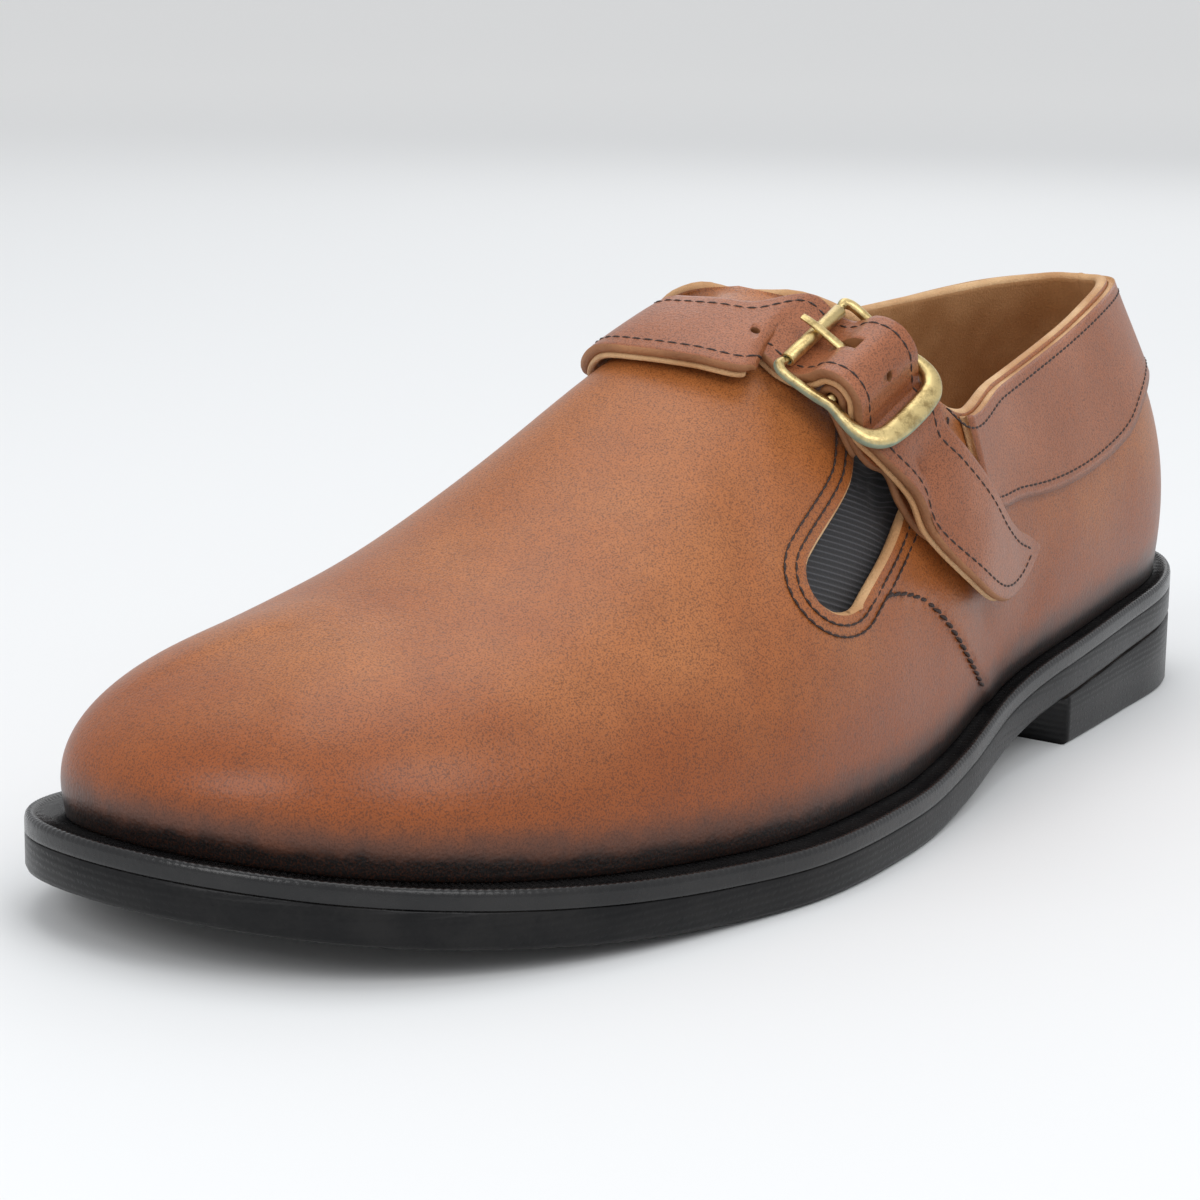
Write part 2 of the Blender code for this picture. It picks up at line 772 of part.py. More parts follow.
def cut_window(upper, side):
    """Cut a gore's window through the upper: its outline, drawn square to the side of the shoe,
    runs from the round lower end up past the topline."""
    ahead = np.array([1.0, 0.0, 0.0])
    out = np.array([0.0, math.cos(SIDE_TILT) * (1 if side == 1 else -1), math.sin(SIDE_TILT)])
    down = np.cross(out, ahead) if side == 1 else np.cross(ahead, out)
    line = [last_point(along, side, rise) for along, rise in smooth_rows(GORE_LINE, GORE_SAMPLES)]
    flat = np.array([[point @ ahead * WINDOW_SQUEEZE, point @ down] for point in line])
    flat = np.concatenate([flat, [flat[-1] + (flat[-1] - flat[-3]) * GORE_RUN_OUT]])
    ways = np.gradient(flat, axis=0)
    ways /= np.linalg.norm(ways, axis=1)[:, None]
    half = GORE_WINDOW / 2
    across = np.array([ways[0][1], -ways[0][0]])
    outline = []
    for turn in GORE_END_TURNS:
        angle = math.radians(turn)
        ahead_share, across_share = 1 - math.cos(angle), math.sin(angle)
        outline.append(flat[0] + half * (ways[0] * ahead_share + across * across_share))
    past = [i for i in range(len(flat)) if (flat[i] - flat[0]) @ ways[0] > half * 1.1]
    outline += [flat[i] + half * np.array([ways[i][1], -ways[i][0]]) for i in past]
    outline += [flat[i] - half * np.array([ways[i][1], -ways[i][0]]) for i in reversed(past)]
    middle = line[0] @ out
    points = [
        ahead * x / WINDOW_SQUEEZE + down * z + out * (middle + depth)
        for depth in (-WINDOW_DEPTH, WINDOW_DEPTH)
        for x, z in outline
    ]
    count = len(outline)
    faces = stack_rings([outline, outline]) + [list(range(count)), list(range(count, 2 * count))]
    cut_with(upper, new_object(f"gore_cutter_{side}", points, faces, None))


def cut_with(obj, cutter, operation="DIFFERENCE"):
    """Cut a helper out of an object, or join the two, and hide the helper."""
    cutter.hide_render = True
    cutter.display_type = "WIRE"
    boolean = obj.modifiers.new(cutter.name, "BOOLEAN")
    boolean.object = cutter
    boolean.operation = operation
    boolean.solver = "EXACT"


def make_gore(name, side, finish):
    """The elastic panel behind a window, sewn inside the upper's wall."""
    outer = -(UPPER_WALL + GORE_CLEAR)
    half = GORE_WINDOW / 2 + GORE_OVERLAP
    rows = facing_out(seated_rows(gore_places(side, half, GORE_OVERLAP), 2 * half), side)
    return sheet(name, rows, outer, outer - GORE_THICKNESS, finish)


def make_band(finish):
    """The band of leather round the heel quarter, just below the topline."""
    places = []
    for side, front in ((1, BAND_FRONT_LATERAL), (2, BAND_FRONT_MEDIAL)):
        turns = np.linspace(turn_of(front), 0.0, BAND_STATIONS)
        line = [(0.5 * (1.0 - math.cos(turn)), side) for turn in turns]
        places += line if side == 1 else line[-2::-1]
    rows = []
    normals = []
    for along, side in places:
        low = smooth_table(BAND_EDGE, 1, along)
        for step in range(BAND_STEPS + 1):
            rise = low + (BAND_TOP - low) * step / BAND_STEPS
            rows.append(last_point(along, side, rise))
            normals.append(band_normal(along, side, rise))
    faces = grid_faces(len(places), BAND_STEPS + 1)
    return shell("collar_band", rows, normals, faces, GAP + BAND_THICKNESS, GAP, finish)


def band_normal(along, side, rise):
    """The last's outward direction, taken as straight back in the middle of the heel."""
    if along > TURN_STEP:
        return last_normal(along, side, rise)
    up = last_point(0.0, side, rise + TURN_STEP) - last_point(0.0, side, rise - TURN_STEP)
    return np.array([-up[2], 0.0, up[0]]) / math.hypot(up[0], up[2])


def buckle_axes():
    """The centre bar's middle and the buckle's directions: along the strap, across, outward."""
    def bar(along, rise, height):
        return last_point(along, 1, rise) + last_normal(along, 1, rise) * height

    roller = bar(*ROLLER_PLACE)
    along = bar(*END_BAR_PLACE) - roller
    along /= np.linalg.norm(along)
    level = np.cross(last_normal(ROLLER_PLACE[0], 1, ROLLER_PLACE[1]), along)
    level /= np.linalg.norm(level)
    across = level * math.cos(BUCKLE_TILT) + np.cross(along, level) * math.sin(BUCKLE_TILT)
    centre = roller + along * BUCKLE_LENGTH * CENTRE_BAR_PLACE
    return centre, along, across, np.cross(along, across)


def in_buckle(a, b, c):
    """World point of a place in the buckle: along, across and out from the centre bar."""
    centre, along, across, out = buckle_axes()
    return centre + along * a + across * b + out * c


def woven_rows(places, width):
    """Rows of points across a strip that is straight across the buckle."""
    return np.array(
        [[in_buckle(a, column * width / 2, c) for column in RIBBON_COLUMNS] for a, c in places]
    )


def make_strap(finish):
    """The monk strap: over the instep, under the roller, over the centre bar, to its point."""
    thick = STRAP_THICKNESS
    under = ROLLER_RADIUS + GAP + thick / 2
    over = CENTRE_BAR_RADIUS + BILLET_THICKNESS + 2 * GAP + thick / 2
    weave = [(a * BUCKLE_LENGTH, c * (over if c > 0 else under)) for a, c in STRAP_WEAVE]
    instep = strip_rows(STRAP_OVER_INSTEP, STRAP_WIDTH)
    tail = strip_rows(STRAP_TAIL, STRAP_WIDTH)
    rows = np.concatenate([instep, woven_rows(weave, STRAP_WIDTH), tail])
    return sheet("strap", smooth_rows(rows, RIBBON_SAMPLES), thick / 2, -thick / 2, finish)


def make_billet(finish):
    """The short strap that holds the centre bar: up from the quarter, round the bar, back."""
    half = BILLET_THICKNESS / 2
    radius = CENTRE_BAR_RADIUS + GAP + half
    wrap = [(a * radius, c * radius) for a, c in BILLET_WRAP]
    root = strip_rows(BILLET_ROOT, BILLET_WIDTH)
    rows = np.concatenate([root, woven_rows(wrap, BILLET_WIDTH)[:, ::-1]])
    return sheet("billet", smooth_rows(rows, RIBBON_SAMPLES), half, -half, finish)


def make_buckle_frame(finish):
    """The cast frame: a loop of changing section, with the centre bar across its waist."""
    half = list(FRAME_HALF)
    loop = half + [(a, -b, w, h) for a, b, w, h in half[-2:0:-1]]
    closed = np.array([loop[-1]] + loop + [loop[0], loop[1]])
    dense = smooth_rows(closed, FRAME_SAMPLES)[FRAME_SAMPLES : -FRAME_SAMPLES - 1]
    scale = np.array([BUCKLE_LENGTH, BUCKLE_WIDTH / 2, END_BAR_HEIGHT / 2, END_BAR_HEIGHT / 2])
    dense = dense * scale
    points = []
    count = len(dense)
    for i, (a, b, wide, high) in enumerate(dense):
        way = dense[(i + 1) % count][:2] - dense[i - 1][:2]
        way /= np.linalg.norm(way)
        for k in range(FRAME_SIDES):
            angle = 2 * math.pi * (k + 0.5) / FRAME_SIDES
            out = wide * math.cos(angle)
            points.append(in_buckle(a + way[1] * out, b - way[0] * out, high * math.sin(angle)))
    faces = []
    for i in range(count):
        for k in range(FRAME_SIDES):
            j, m = (i + 1) % count, (k + 1) % FRAME_SIDES
            faces.append([i * FRAME_SIDES + k, i * FRAME_SIDES + m, j * FRAME_SIDES + m,
                          j * FRAME_SIDES + k])
    frame = new_object("buckle_frame", points, faces, finish)
    reach = BUCKLE_WIDTH / 2 * FRAME_HALF[7][1]
    bar = tube("centre_bar", 0.0, reach, CENTRE_BAR_RADIUS, None)
    cut_with(frame, bar, "UNION")
    return frame


def tube(name, a, half, radius, bore, finish=None):
    """A round bar across the buckle at a distance past the centre bar, bored through if asked."""
    sides = 2 * FRAME_SIDES
    radii = [radius] if bore is None else [radius, bore]
    points = []
    for ring in radii:
        for b in (-half, half):
            for k in range(sides):
                angle = 2 * math.pi * k / sides
                points.append(in_buckle(a + ring * math.cos(angle), b, ring * math.sin(angle)))
    loops = [list(range(i * sides, (i + 1) * sides)) for i in range(2 * len(radii))]
    faces = []
    if bore is None:
        faces += [loops[0], loops[1]]
    for k in range(sides):
        m = (k + 1) % sides
        faces.append([loops[0][k], loops[0][m], loops[1][m], loops[1][k]])
        if bore is not None:
            faces.append([loops[2][k], loops[2][m], loops[3][m], loops[3][k]])
            faces.append([loops[0][k], loops[0][m], loops[2][m], loops[2][k]])
            faces.append([loops[1][k], loops[1][m], loops[3][m], loops[3][k]])
    return new_object(name, points, faces, finish)


def make_roller(finish):
    """The tube that turns on the frame's front bar."""
    bore = ROLLER_RADIUS - ROLLER_WALL
    front = -BUCKLE_LENGTH * CENTRE_BAR_PLACE
    return tube("buckle_roller", front, ROLLER_LENGTH / 2, ROLLER_RADIUS, bore, finish)


def make_prong(finish):
    """The prong: bent round the centre bar, then out over the roller."""
    half = PRONG_THICKNESS / 2
    ring = CENTRE_BAR_RADIUS + GAP + half
    high = ROLLER_RADIUS + GAP + half
    line = [
        (ring * math.cos(math.radians(turn)), ring * math.sin(math.radians(turn)))
        for turn in PRONG_RING_TURNS
    ]
    line += [(a * BUCKLE_LENGTH, c * high) for a, c in PRONG_REACH]
    line = smooth_rows(line, RIBBON_SAMPLES)
    rows = [[in_buckle(a, side * PRONG_WIDTH / 2, c) for side in (-1, 1)] for a, c in line]
    return sheet("buckle_prong", rows, half, -half, finish)


def cut_slot(obj, low, high):
    """Cut a slot for the prong: a box in the buckle between two corners (along, out)."""
    half = PRONG_WIDTH / 2 + SLOT_CLEAR
    alongs, outs = zip(low, high)
    corners = [(a, b, c) for a in alongs for b in (-half, half) for c in outs]
    faces = [[0, 1, 3, 2], [4, 6, 7, 5], [0, 4, 5, 1], [2, 3, 7, 6], [0, 2, 6, 4], [1, 5, 7, 3]]
    name = f"{obj.name}_slot"
    cut_with(obj, new_object(name, [in_buckle(*corner) for corner in corners], faces, None))


def main():
    """Build every piece of the shoe."""
    clear_scene()
    black = material("sole_edge_black", (0.02, 0.02, 0.022), 0.35)
    tan = material("upper_leather", (0.36, 0.13, 0.05), 0.45)
    sock = material("insole_leather", (0.42, 0.25, 0.12), 0.7)
    make_outsole(black)
    make_welt(black)
    make_heel(black)
    make_insole(sock)
    points, faces, index = last_grid()
    normals = surface_normals(points, faces)
    level_feather(points, normals, index)
    upper = shell("upper", points, normals, faces, 0.0, -UPPER_WALL, tan)
    elastic = material("elastic_black", (0.015, 0.015, 0.016), 0.7)
    brass = material("buckle_brass", (0.55, 0.42, 0.20), 0.35, 1.0)
    for side, name in ((1, "gore_lateral"), (2, "gore_medial")):
        cut_window(upper, side)
        make_gore(name, side, elastic)
    make_band(tan)
    strap = make_strap(tan)
    billet = make_billet(tan)
    make_buckle_frame(brass)
    make_roller(brass)
    make_prong(brass)
    ring = CENTRE_BAR_RADIUS + GAP + PRONG_THICKNESS
    deep = 2 * (ring + BILLET_THICKNESS)
    cut_slot(billet, (-deep, -deep), (ring + SLOT_CLEAR, deep))
    low = ring - PRONG_THICKNESS - SLOT_CLEAR
    rear, front = STRAP_SLOT
    cut_slot(strap, (rear * BUCKLE_LENGTH, low), (front * BUCKLE_LENGTH, low + deep))


main()
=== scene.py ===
"""The left monk strap shoe, dressed in leather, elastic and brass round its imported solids."""

from __future__ import annotations

import logging
import math
from collections.abc import Callable, Sequence
from dataclasses import dataclass, field
from enum import Enum
from functools import lru_cache

import bpy
import numpy as np
from mathutils import Matrix, Vector


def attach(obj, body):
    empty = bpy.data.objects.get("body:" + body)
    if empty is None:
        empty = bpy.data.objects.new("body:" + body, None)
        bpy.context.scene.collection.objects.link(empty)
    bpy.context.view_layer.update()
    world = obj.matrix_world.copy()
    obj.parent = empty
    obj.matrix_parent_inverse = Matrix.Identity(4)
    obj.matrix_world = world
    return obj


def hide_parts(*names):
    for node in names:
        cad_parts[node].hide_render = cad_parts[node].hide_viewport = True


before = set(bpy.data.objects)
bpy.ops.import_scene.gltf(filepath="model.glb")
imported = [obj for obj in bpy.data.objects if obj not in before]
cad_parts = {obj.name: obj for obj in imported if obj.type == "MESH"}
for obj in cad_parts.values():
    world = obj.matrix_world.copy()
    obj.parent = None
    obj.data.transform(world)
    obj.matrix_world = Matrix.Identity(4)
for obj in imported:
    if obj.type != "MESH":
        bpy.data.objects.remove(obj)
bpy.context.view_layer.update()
LOG = logging.getLogger("shoe")

Place = tuple[float, int, float]
Row = tuple[float, ...]

# The solids' driving sizes, in metres.
SOLE_LENGTH = 0.300
BALL_WIDTH = 0.105
OUTSOLE_THICKNESS = 0.0060
WELT_THICKNESS = 0.0030
HEEL_LENGTH = 0.084
HEEL_HEIGHT = 0.0098
HEEL_WEDGE = 0.0062
TOE_SPRING = 0.0090
FLAT_BACK = 0.55
FLAT_FRONT = 0.67
SPRING_POWER = 1.7
GAP = 0.0003
INSTEP_HEIGHT = 0.098
UPPER_WALL = 0.0024
WELT_REACH = 0.0065
GORE_WINDOW = 0.0136
GORE_THICKNESS = 0.0014
GORE_CLEAR = 0.0013
BAND_THICKNESS = 0.0013
STRAP_WIDTH = 0.0190
STRAP_THICKNESS = 0.0030
BILLET_WIDTH = 0.0180
BILLET_THICKNESS = 0.0015
BUCKLE_LENGTH = 0.0225
BUCKLE_WIDTH = 0.0230
CENTRE_BAR_PLACE = 0.467
CENTRE_BAR_RADIUS = 0.0009
END_BAR_HEIGHT = 0.0026
ROLLER_RADIUS = 0.00135
ROLLER_WALL = 0.0005
ROLLER_LENGTH = 0.0175
PRONG_THICKNESS = 0.0011
PRONG_WIDTH = 0.0022
SLOT_CLEAR = 0.0004
STATION_CROWDING = 0.35
RIDGE_STEP = 0.01
TURN_STEP = 0.002
FEATHER_LIFT = OUTSOLE_THICKNESS + WELT_THICKNESS + 2 * GAP
REACH = ((0.0, 0.60), (0.25, 0.62), (0.45, 0.72), (0.60, 0.95), (1.0, 1.0))
BAND_TOP = 0.985
BAND_FRONT_LATERAL = 0.395
BAND_FRONT_MEDIAL = 0.345
ROLLER_PLACE = (0.534, 0.760, 0.0062)
END_BAR_PLACE = (0.518, 0.570, 0.0110)
BUCKLE_TILT = math.radians(12)
SIDE_TILT = math.radians(28)
WINDOW_SQUEEZE = 0.75
GORE_RUN_OUT = 2.2
GORE_SAMPLES = 2
PRONG_RING_TURNS = (-150, -105, -60, -15, 30, 65, 90)
PRONG_REACH = ((-0.15, 0.90), (-0.31, 0.97), (-0.467, 1.00), (-0.570, 0.93), (-0.625, 0.82))
STRAP_SLOT = (-0.31, -0.06)
SEAT_ROUNDS = 6
SEAT_REACH = 0.06
MAP_NAME = "face"
RIB_PITCH = 0.0012
RIM_STEPS = (0.2, 0.5, 0.8)

OUTLINE = (
    (0.000, 0.000, 0.000),
    (0.027, 0.167, -0.190),
    (0.083, 0.250, -0.280),
    (0.167, 0.290, -0.312),
    (0.267, 0.330, -0.290),
    (0.367, 0.364, -0.262),
    (0.467, 0.434, -0.280),
    (0.567, 0.494, -0.362),
    (0.667, 0.519, -0.462),
    (0.750, 0.489, -0.512),
    (0.833, 0.435, -0.529),
    (0.907, 0.339, -0.508),
    (0.960, 0.205, -0.432),
    (0.990, 0.035, -0.315),
    (1.000, -0.140, -0.140),
)

RIDGE = (
    (0.500, 0.503, -0.010, 0.965),
    (0.600, 0.590, -0.020, 0.880),
    (0.700, 0.670, -0.038, 0.735),
    (0.800, 0.745, -0.065, 0.605),
    (0.880, 0.805, -0.088, 0.535),
    (0.950, 0.848, -0.112, 0.500),
    (1.000, 0.866, -0.122, 0.482),
)

COLLAR_LATERAL = (
    (0.000, 0.066, 0.000, 0.890),
    (0.050, 0.084, 0.080, 0.885),
    (0.120, 0.135, 0.128, 0.862),
    (0.220, 0.215, 0.172, 0.812),
    (0.330, 0.338, 0.238, 0.756),
    (0.400, 0.425, 0.304, 0.735),
    (0.430, 0.456, 0.298, 0.788),
    (0.460, 0.486, 0.228, 0.895),
    (0.480, 0.500, 0.128, 0.945),
    (0.500, 0.503, -0.010, 0.965),
)

COLLAR_MEDIAL = (
    (0.000, 0.066, 0.000, 0.890),
    (0.050, 0.084, -0.082, 0.887),
    (0.120, 0.135, -0.130, 0.880),
    (0.220, 0.218, -0.175, 0.858),
    (0.330, 0.330, -0.220, 0.828),
    (0.400, 0.410, -0.280, 0.788),
    (0.430, 0.446, -0.285, 0.828),
    (0.460, 0.482, -0.225, 0.903),
    (0.480, 0.498, -0.125, 0.946),
    (0.500, 0.503, -0.010, 0.965),
)

SECTIONS = (
    (0.00, 0.70, 0.70, 0.50, 0.50, 0.50, 0.30),
    (0.15, 0.70, 0.65, 0.45, 0.62, 0.60, 0.30),
    (0.33, 0.60, 0.40, 0.40, 0.70, 0.65, 0.30),
    (0.40, 0.60, 0.40, 0.38, 0.66, 0.64, 0.24),
    (0.43, 0.60, 0.40, 0.38, 0.60, 0.60, 0.14),
    (0.46, 0.60, 0.42, 0.37, 0.58, 0.56, 0.07),
    (0.50, 0.65, 0.45, 0.36, 0.64, 0.58, 0.02),
    (0.60, 0.75, 0.60, 0.38, 0.62, 0.56, 0.00),
    (0.75, 0.90, 0.80, 0.45, 0.60, 0.58, 0.00),
    (0.90, 0.95, 0.90, 0.55, 0.60, 0.60, 0.00),
    (1.00, 0.95, 0.95, 0.58, 0.62, 0.62, 0.00),
)

GORE_LINE = (
    (0.618, 0.375),
    (0.590, 0.412),
    (0.555, 0.445),
    (0.525, 0.480),
    (0.498, 0.545),
    (0.474, 0.645),
)

BAND_EDGE = (
    (0.000, 0.620),
    (0.106, 0.570),
    (0.138, 0.520),
    (0.202, 0.500),
    (0.282, 0.530),
    (0.358, 0.600),
    (0.410, 0.660),
)

STRAP_OVER_INSTEP = (
    (0.365, 1.270, 0.0022, 1.00),
    (0.420, 1.290, 0.0031, 1.00),
    (0.475, 1.300, 0.0034, 1.00),
    (0.530, 1.270, 0.0030, 1.00),
    (0.568, 1.180, 0.0024, 1.00),
    (0.583, 1.080, 0.0022, 1.00),
    (0.588, 0.980, 0.0022, 1.00),
    (0.580, 0.900, 0.0027, 1.00),
    (0.565, 0.830, 0.0032, 1.00),
)

STRAP_TAIL = (
    (0.492, 0.515, 0.0052, 1.00),
    (0.474, 0.482, 0.0043, 1.00),
    (0.440, 0.472, 0.0040, 0.97),
    (0.404, 0.466, 0.0034, 0.82),
    (0.374, 0.444, 0.0027, 0.56),
    (0.352, 0.426, 0.0023, 0.30),
    (0.336, 0.412, 0.0021, 0.04),
)

STRAP_WEAVE = (
    (-0.720, -1.06),
    (-0.467, -1.00),
    (-0.310, -0.60),
    (-0.213, 0.13),
    (-0.142, 0.78),
    (0.000, 1.08),
    (0.151, 0.80),
    (0.245, 0.10),
    (0.345, -0.85),
    (0.533, -1.05),
)

BILLET_WRAP = (
    (6.15, -3.55),
    (4.60, -3.15),
    (2.80, -1.90),
    (1.30, -0.10),
    (0.72, 0.72),
    (0.00, 1.00),
    (-0.72, 0.72),
    (-1.00, 0.00),
    (-0.72, -0.72),
    (0.15, -1.05),
    (1.85, -2.20),
    (3.30, -3.25),
    (4.40, -3.95),
)

BILLET_ROOT = (
    (0.452, 0.480, 0.0011, 0.80),
    (0.470, 0.490, 0.0011, 0.95),
    (0.485, 0.515, 0.0013, 1.00),
    (0.496, 0.545, 0.0021, 1.00),
)

FRAME_HALF = (
    (-0.467, 0.00, 0.42, 0.42),
    (-0.467, 0.76, 0.42, 0.42),
    (-0.484, 0.86, 0.64, 0.62),
    (-0.480, 0.96, 0.74, 0.70),
    (-0.420, 1.02, 0.70, 0.66),
    (-0.270, 1.01, 0.66, 0.66),
    (-0.090, 0.96, 0.70, 0.70),
    (0.030, 0.91, 0.74, 0.74),
    (0.140, 0.95, 0.80, 0.80),
    (0.290, 0.99, 1.00, 0.86),
    (0.420, 0.92, 1.30, 0.93),
    (0.505, 0.70, 1.54, 1.00),
    (0.533, 0.35, 1.66, 1.00),
    (0.537, 0.00, 1.70, 1.00),
)

LATERAL, MEDIAL = 1, 2


class Layer(Enum):
    """The faces of a wall of leather, in the order of its material slots."""

    OUTER = 0
    RIM = 1
    INNER = 2


def turn_of(along: float) -> float:
    """The angle whose cosine spaces stations closely at heel and toe."""
    return math.acos(max(-1.0, min(1.0, 1.0 - 2.0 * along)))


def smooth_table(rows: tuple[Row, ...], column: int, along: float) -> float:
    """Read a table's column on a smooth curve through its rows.

    Args:
        rows: The table; its first column is the share of the shoe's length.
        column: The column that is read.
        along: The share of the length.

    Returns:
        The column's value there.
    """
    at = turn_of(along)
    places, values, slopes = table_curve(rows, column)
    i = int(np.clip(np.searchsorted(places, at) - 1, 0, len(places) - 2))
    step = places[i + 1] - places[i]
    t = (at - places[i]) / step
    ahead = t * t * (3 - 2 * t)
    bend = slopes[i] * (1 - t) - slopes[i + 1] * t
    return float(values[i] * (1 - ahead) + values[i + 1] * ahead + step * t * (1 - t) * bend)


@lru_cache(maxsize=None)
def table_curve(rows: tuple[Row, ...], column: int) -> tuple[np.ndarray, np.ndarray, np.ndarray]:
    """Places, values and slopes of one column of a table."""
    places = np.array([turn_of(row[0]) for row in rows])
    values = np.array([row[column] for row in rows], float)
    return places, values, np.gradient(values, places)


def smooth_rows(rows: Sequence | np.ndarray, samples: int) -> np.ndarray:
    """Put extra rows between rows of points or numbers, on a smooth curve.

    Args:
        rows: The rows as they are given.
        samples: How many steps each gap is cut into.

    Returns:
        The rows with those between them.
    """
    rows = np.array(rows, float)
    flat = rows.reshape(len(rows), -1)
    chords = np.maximum(np.linalg.norm(np.diff(flat, axis=0), axis=1), TURN_STEP**2)
    places = np.concatenate([[0.0], np.cumsum(np.sqrt(chords))])
    slopes = np.gradient(flat, places, axis=0)
    made = []
    for i, step in enumerate(np.diff(places)):
        for k in range(samples):
            t = k / samples
            ahead = t * t * (3 - 2 * t)
            bend = slopes[i] * (1 - t) - slopes[i + 1] * t
            made.append(flat[i] * (1 - ahead) + flat[i + 1] * ahead + step * t * (1 - t) * bend)
    made.append(flat[-1])
    return np.array(made).reshape(-1, *rows.shape[1:])


class Last:
    """The form that the shoe is made on: its sole's outline and the sections of its upper."""

    @staticmethod
    def x(along: float) -> float:
        """World x of a share of the sole's length."""
        return along * SOLE_LENGTH - HEEL_LENGTH / 2

    @staticmethod
    @lru_cache(maxsize=None)
    def outline(turn: float, side: int) -> np.ndarray:
        """A point of the sole's edge, past either end on the other side."""
        if turn < 0.0 or turn > math.pi:
            turn = -turn if turn < 0.0 else 2 * math.pi - turn
            side = 3 - side
        along = 0.5 * (1.0 - math.cos(turn))
        return np.array([Last.x(along), smooth_table(OUTLINE, side, along) * BALL_WIDTH])

    @staticmethod
    @lru_cache(maxsize=None)
    def edge(along: float, side: int) -> tuple[np.ndarray, np.ndarray]:
        """A point of the sole's edge and the outward direction there."""
        turn = turn_of(along)
        ahead = Last.outline(turn + TURN_STEP, side) - Last.outline(turn - TURN_STEP, side)
        outward = np.array([-ahead[1], ahead[0]]) / np.linalg.norm(ahead)
        return Last.outline(turn, side), outward if side == LATERAL else -outward

    @staticmethod
    def bottom(x: float) -> float:
        """Height of the outsole's underside at world x: heel seat, arch, flat, toe spring."""
        along = (x + HEEL_LENGTH / 2) / SOLE_LENGTH
        breast = HEEL_LENGTH / SOLE_LENGTH
        slope = HEEL_WEDGE / breast
        if along <= breast:
            return HEEL_HEIGHT + slope * (breast - along)
        if along < FLAT_BACK:
            span = FLAT_BACK - breast
            t = (FLAT_BACK - along) / span
            return HEEL_HEIGHT * t * t * (3 - 2 * t) + slope * span * t * t * (t - 1)
        if along <= FLAT_FRONT:
            return 0.0
        return TOE_SPRING * ((along - FLAT_FRONT) / (1.0 - FLAT_FRONT)) ** SPRING_POWER

    @staticmethod
    def welt_reach(along: float) -> float:
        """How far the upper's foot stands in from the sole's edge."""
        return WELT_REACH * smooth_table(REACH, 1, along)

    @staticmethod
    def crown(along: float, side: int) -> np.ndarray:
        """Where a section ends: on the vamp's ridge, or on the collar's edge behind it."""
        table = RIDGE
        if along < RIDGE[0][0]:
            table = COLLAR_LATERAL if side == LATERAL else COLLAR_MEDIAL
        x = Last.x(smooth_table(table, 1, along))
        y = smooth_table(table, 2, along) * BALL_WIDTH
        return np.array([x, y, smooth_table(table, 3, along) * INSTEP_HEIGHT])

    @staticmethod
    def ridge_slope(along: float) -> float:
        """How fast the vamp's ridge climbs along X where a section of the vamp ends."""
        if along < RIDGE[0][0]:
            return 0.0
        low, high = max(along - RIDGE_STEP, RIDGE[0][0]), min(along + RIDGE_STEP, 1.0)
        behind, ahead = Last.crown(low, LATERAL), Last.crown(high, LATERAL)
        return (ahead[2] - behind[2]) / (ahead[0] - behind[0])

    @staticmethod
    @lru_cache(maxsize=None)
    def section(along: float, side: int) -> np.ndarray:
        """The four handles of the upper's section at a station, from feather to crown."""
        edge, out = Last.edge(along, side)
        x, y = edge - out * Last.welt_reach(along)
        start = np.array([x, y, Last.bottom(x) + FEATHER_LIFT])
        crown = Last.crown(along, side)
        rise = crown[2] - start[2]
        away = start - crown
        away[2] = 0.0
        lean = WELT_REACH * smooth_table(SECTIONS, side, along)
        climb = rise * smooth_table(SECTIONS, 3, along)
        back = smooth_table(SECTIONS, 3 + side, along)
        fall = rise * smooth_table(SECTIONS, 6, along) - Last.ridge_slope(along) * away[0] * back
        first = start + np.array([out[0] * lean, out[1] * lean, climb])
        second = crown + away * back - np.array([0.0, 0.0, fall])
        return np.array([start, first, second, crown])

    @staticmethod
    def point(along: float, side: int, rise: float) -> np.ndarray:
        """A point of the upper's face: rise runs from 0 at the feather to 1 at the crown."""
        left = 1.0 - rise
        shares = (left**3, 3 * left * left * rise, 3 * left * rise * rise, rise**3)
        return np.array(shares) @ Last.section(along, side)

    @staticmethod
    def normal(along: float, side: int, rise: float) -> np.ndarray:
        """The outward direction of the upper's face at a place of it."""
        step = TURN_STEP
        up = Last.point(along, side, rise + step) - Last.point(along, side, rise - step)
        if along <= step:
            way = np.array([-up[2], 0.0, up[0]])
            return way / np.linalg.norm(way)
        ahead = Last.point(along + step, side, rise) - Last.point(along - step, side, rise)
        way = np.cross(up, ahead) if side == LATERAL else np.cross(ahead, up)
        return way / np.linalg.norm(way)

    @staticmethod
    def above(place: Place, height: float) -> np.ndarray:
        """A point at a height over a place of the upper."""
        return Last.point(*place) + Last.normal(*place) * height

    @staticmethod
    def seat(point: np.ndarray, place: Place) -> Place:
        """The place nearest to a point, looked for from a place close to it."""
        along, side, rise = place
        step = TURN_STEP
        for _ in range(SEAT_ROUNDS):
            here = Last.point(along, side, rise)
            ahead = (Last.point(along + step, side, rise) - here) / step
            up = (Last.point(along, side, rise + step) - here) / step
            move = np.linalg.lstsq(np.array([ahead, up]).T, point - here, rcond=None)[0]
            move = np.clip(move, -SEAT_REACH, SEAT_REACH)
            along, rise = along + float(move[0]), rise + float(move[1])
            if rise > 1.0 and along >= RIDGE[0][0]:
                side, rise = 3 - side, 2.0 - rise
        return along, side, rise

    @staticmethod
    def below_crown(along: float, side: int, distance: float) -> float:
        """The rise at a distance down the section from its crown."""
        steps = np.linspace(1.0, 0.5, 60)
        points = np.array([Last.point(along, side, rise) for rise in steps])
        run = np.concatenate([[0.0], np.cumsum(np.linalg.norm(np.diff(points, axis=0), axis=1))])
        return float(np.interp(distance, run, steps))

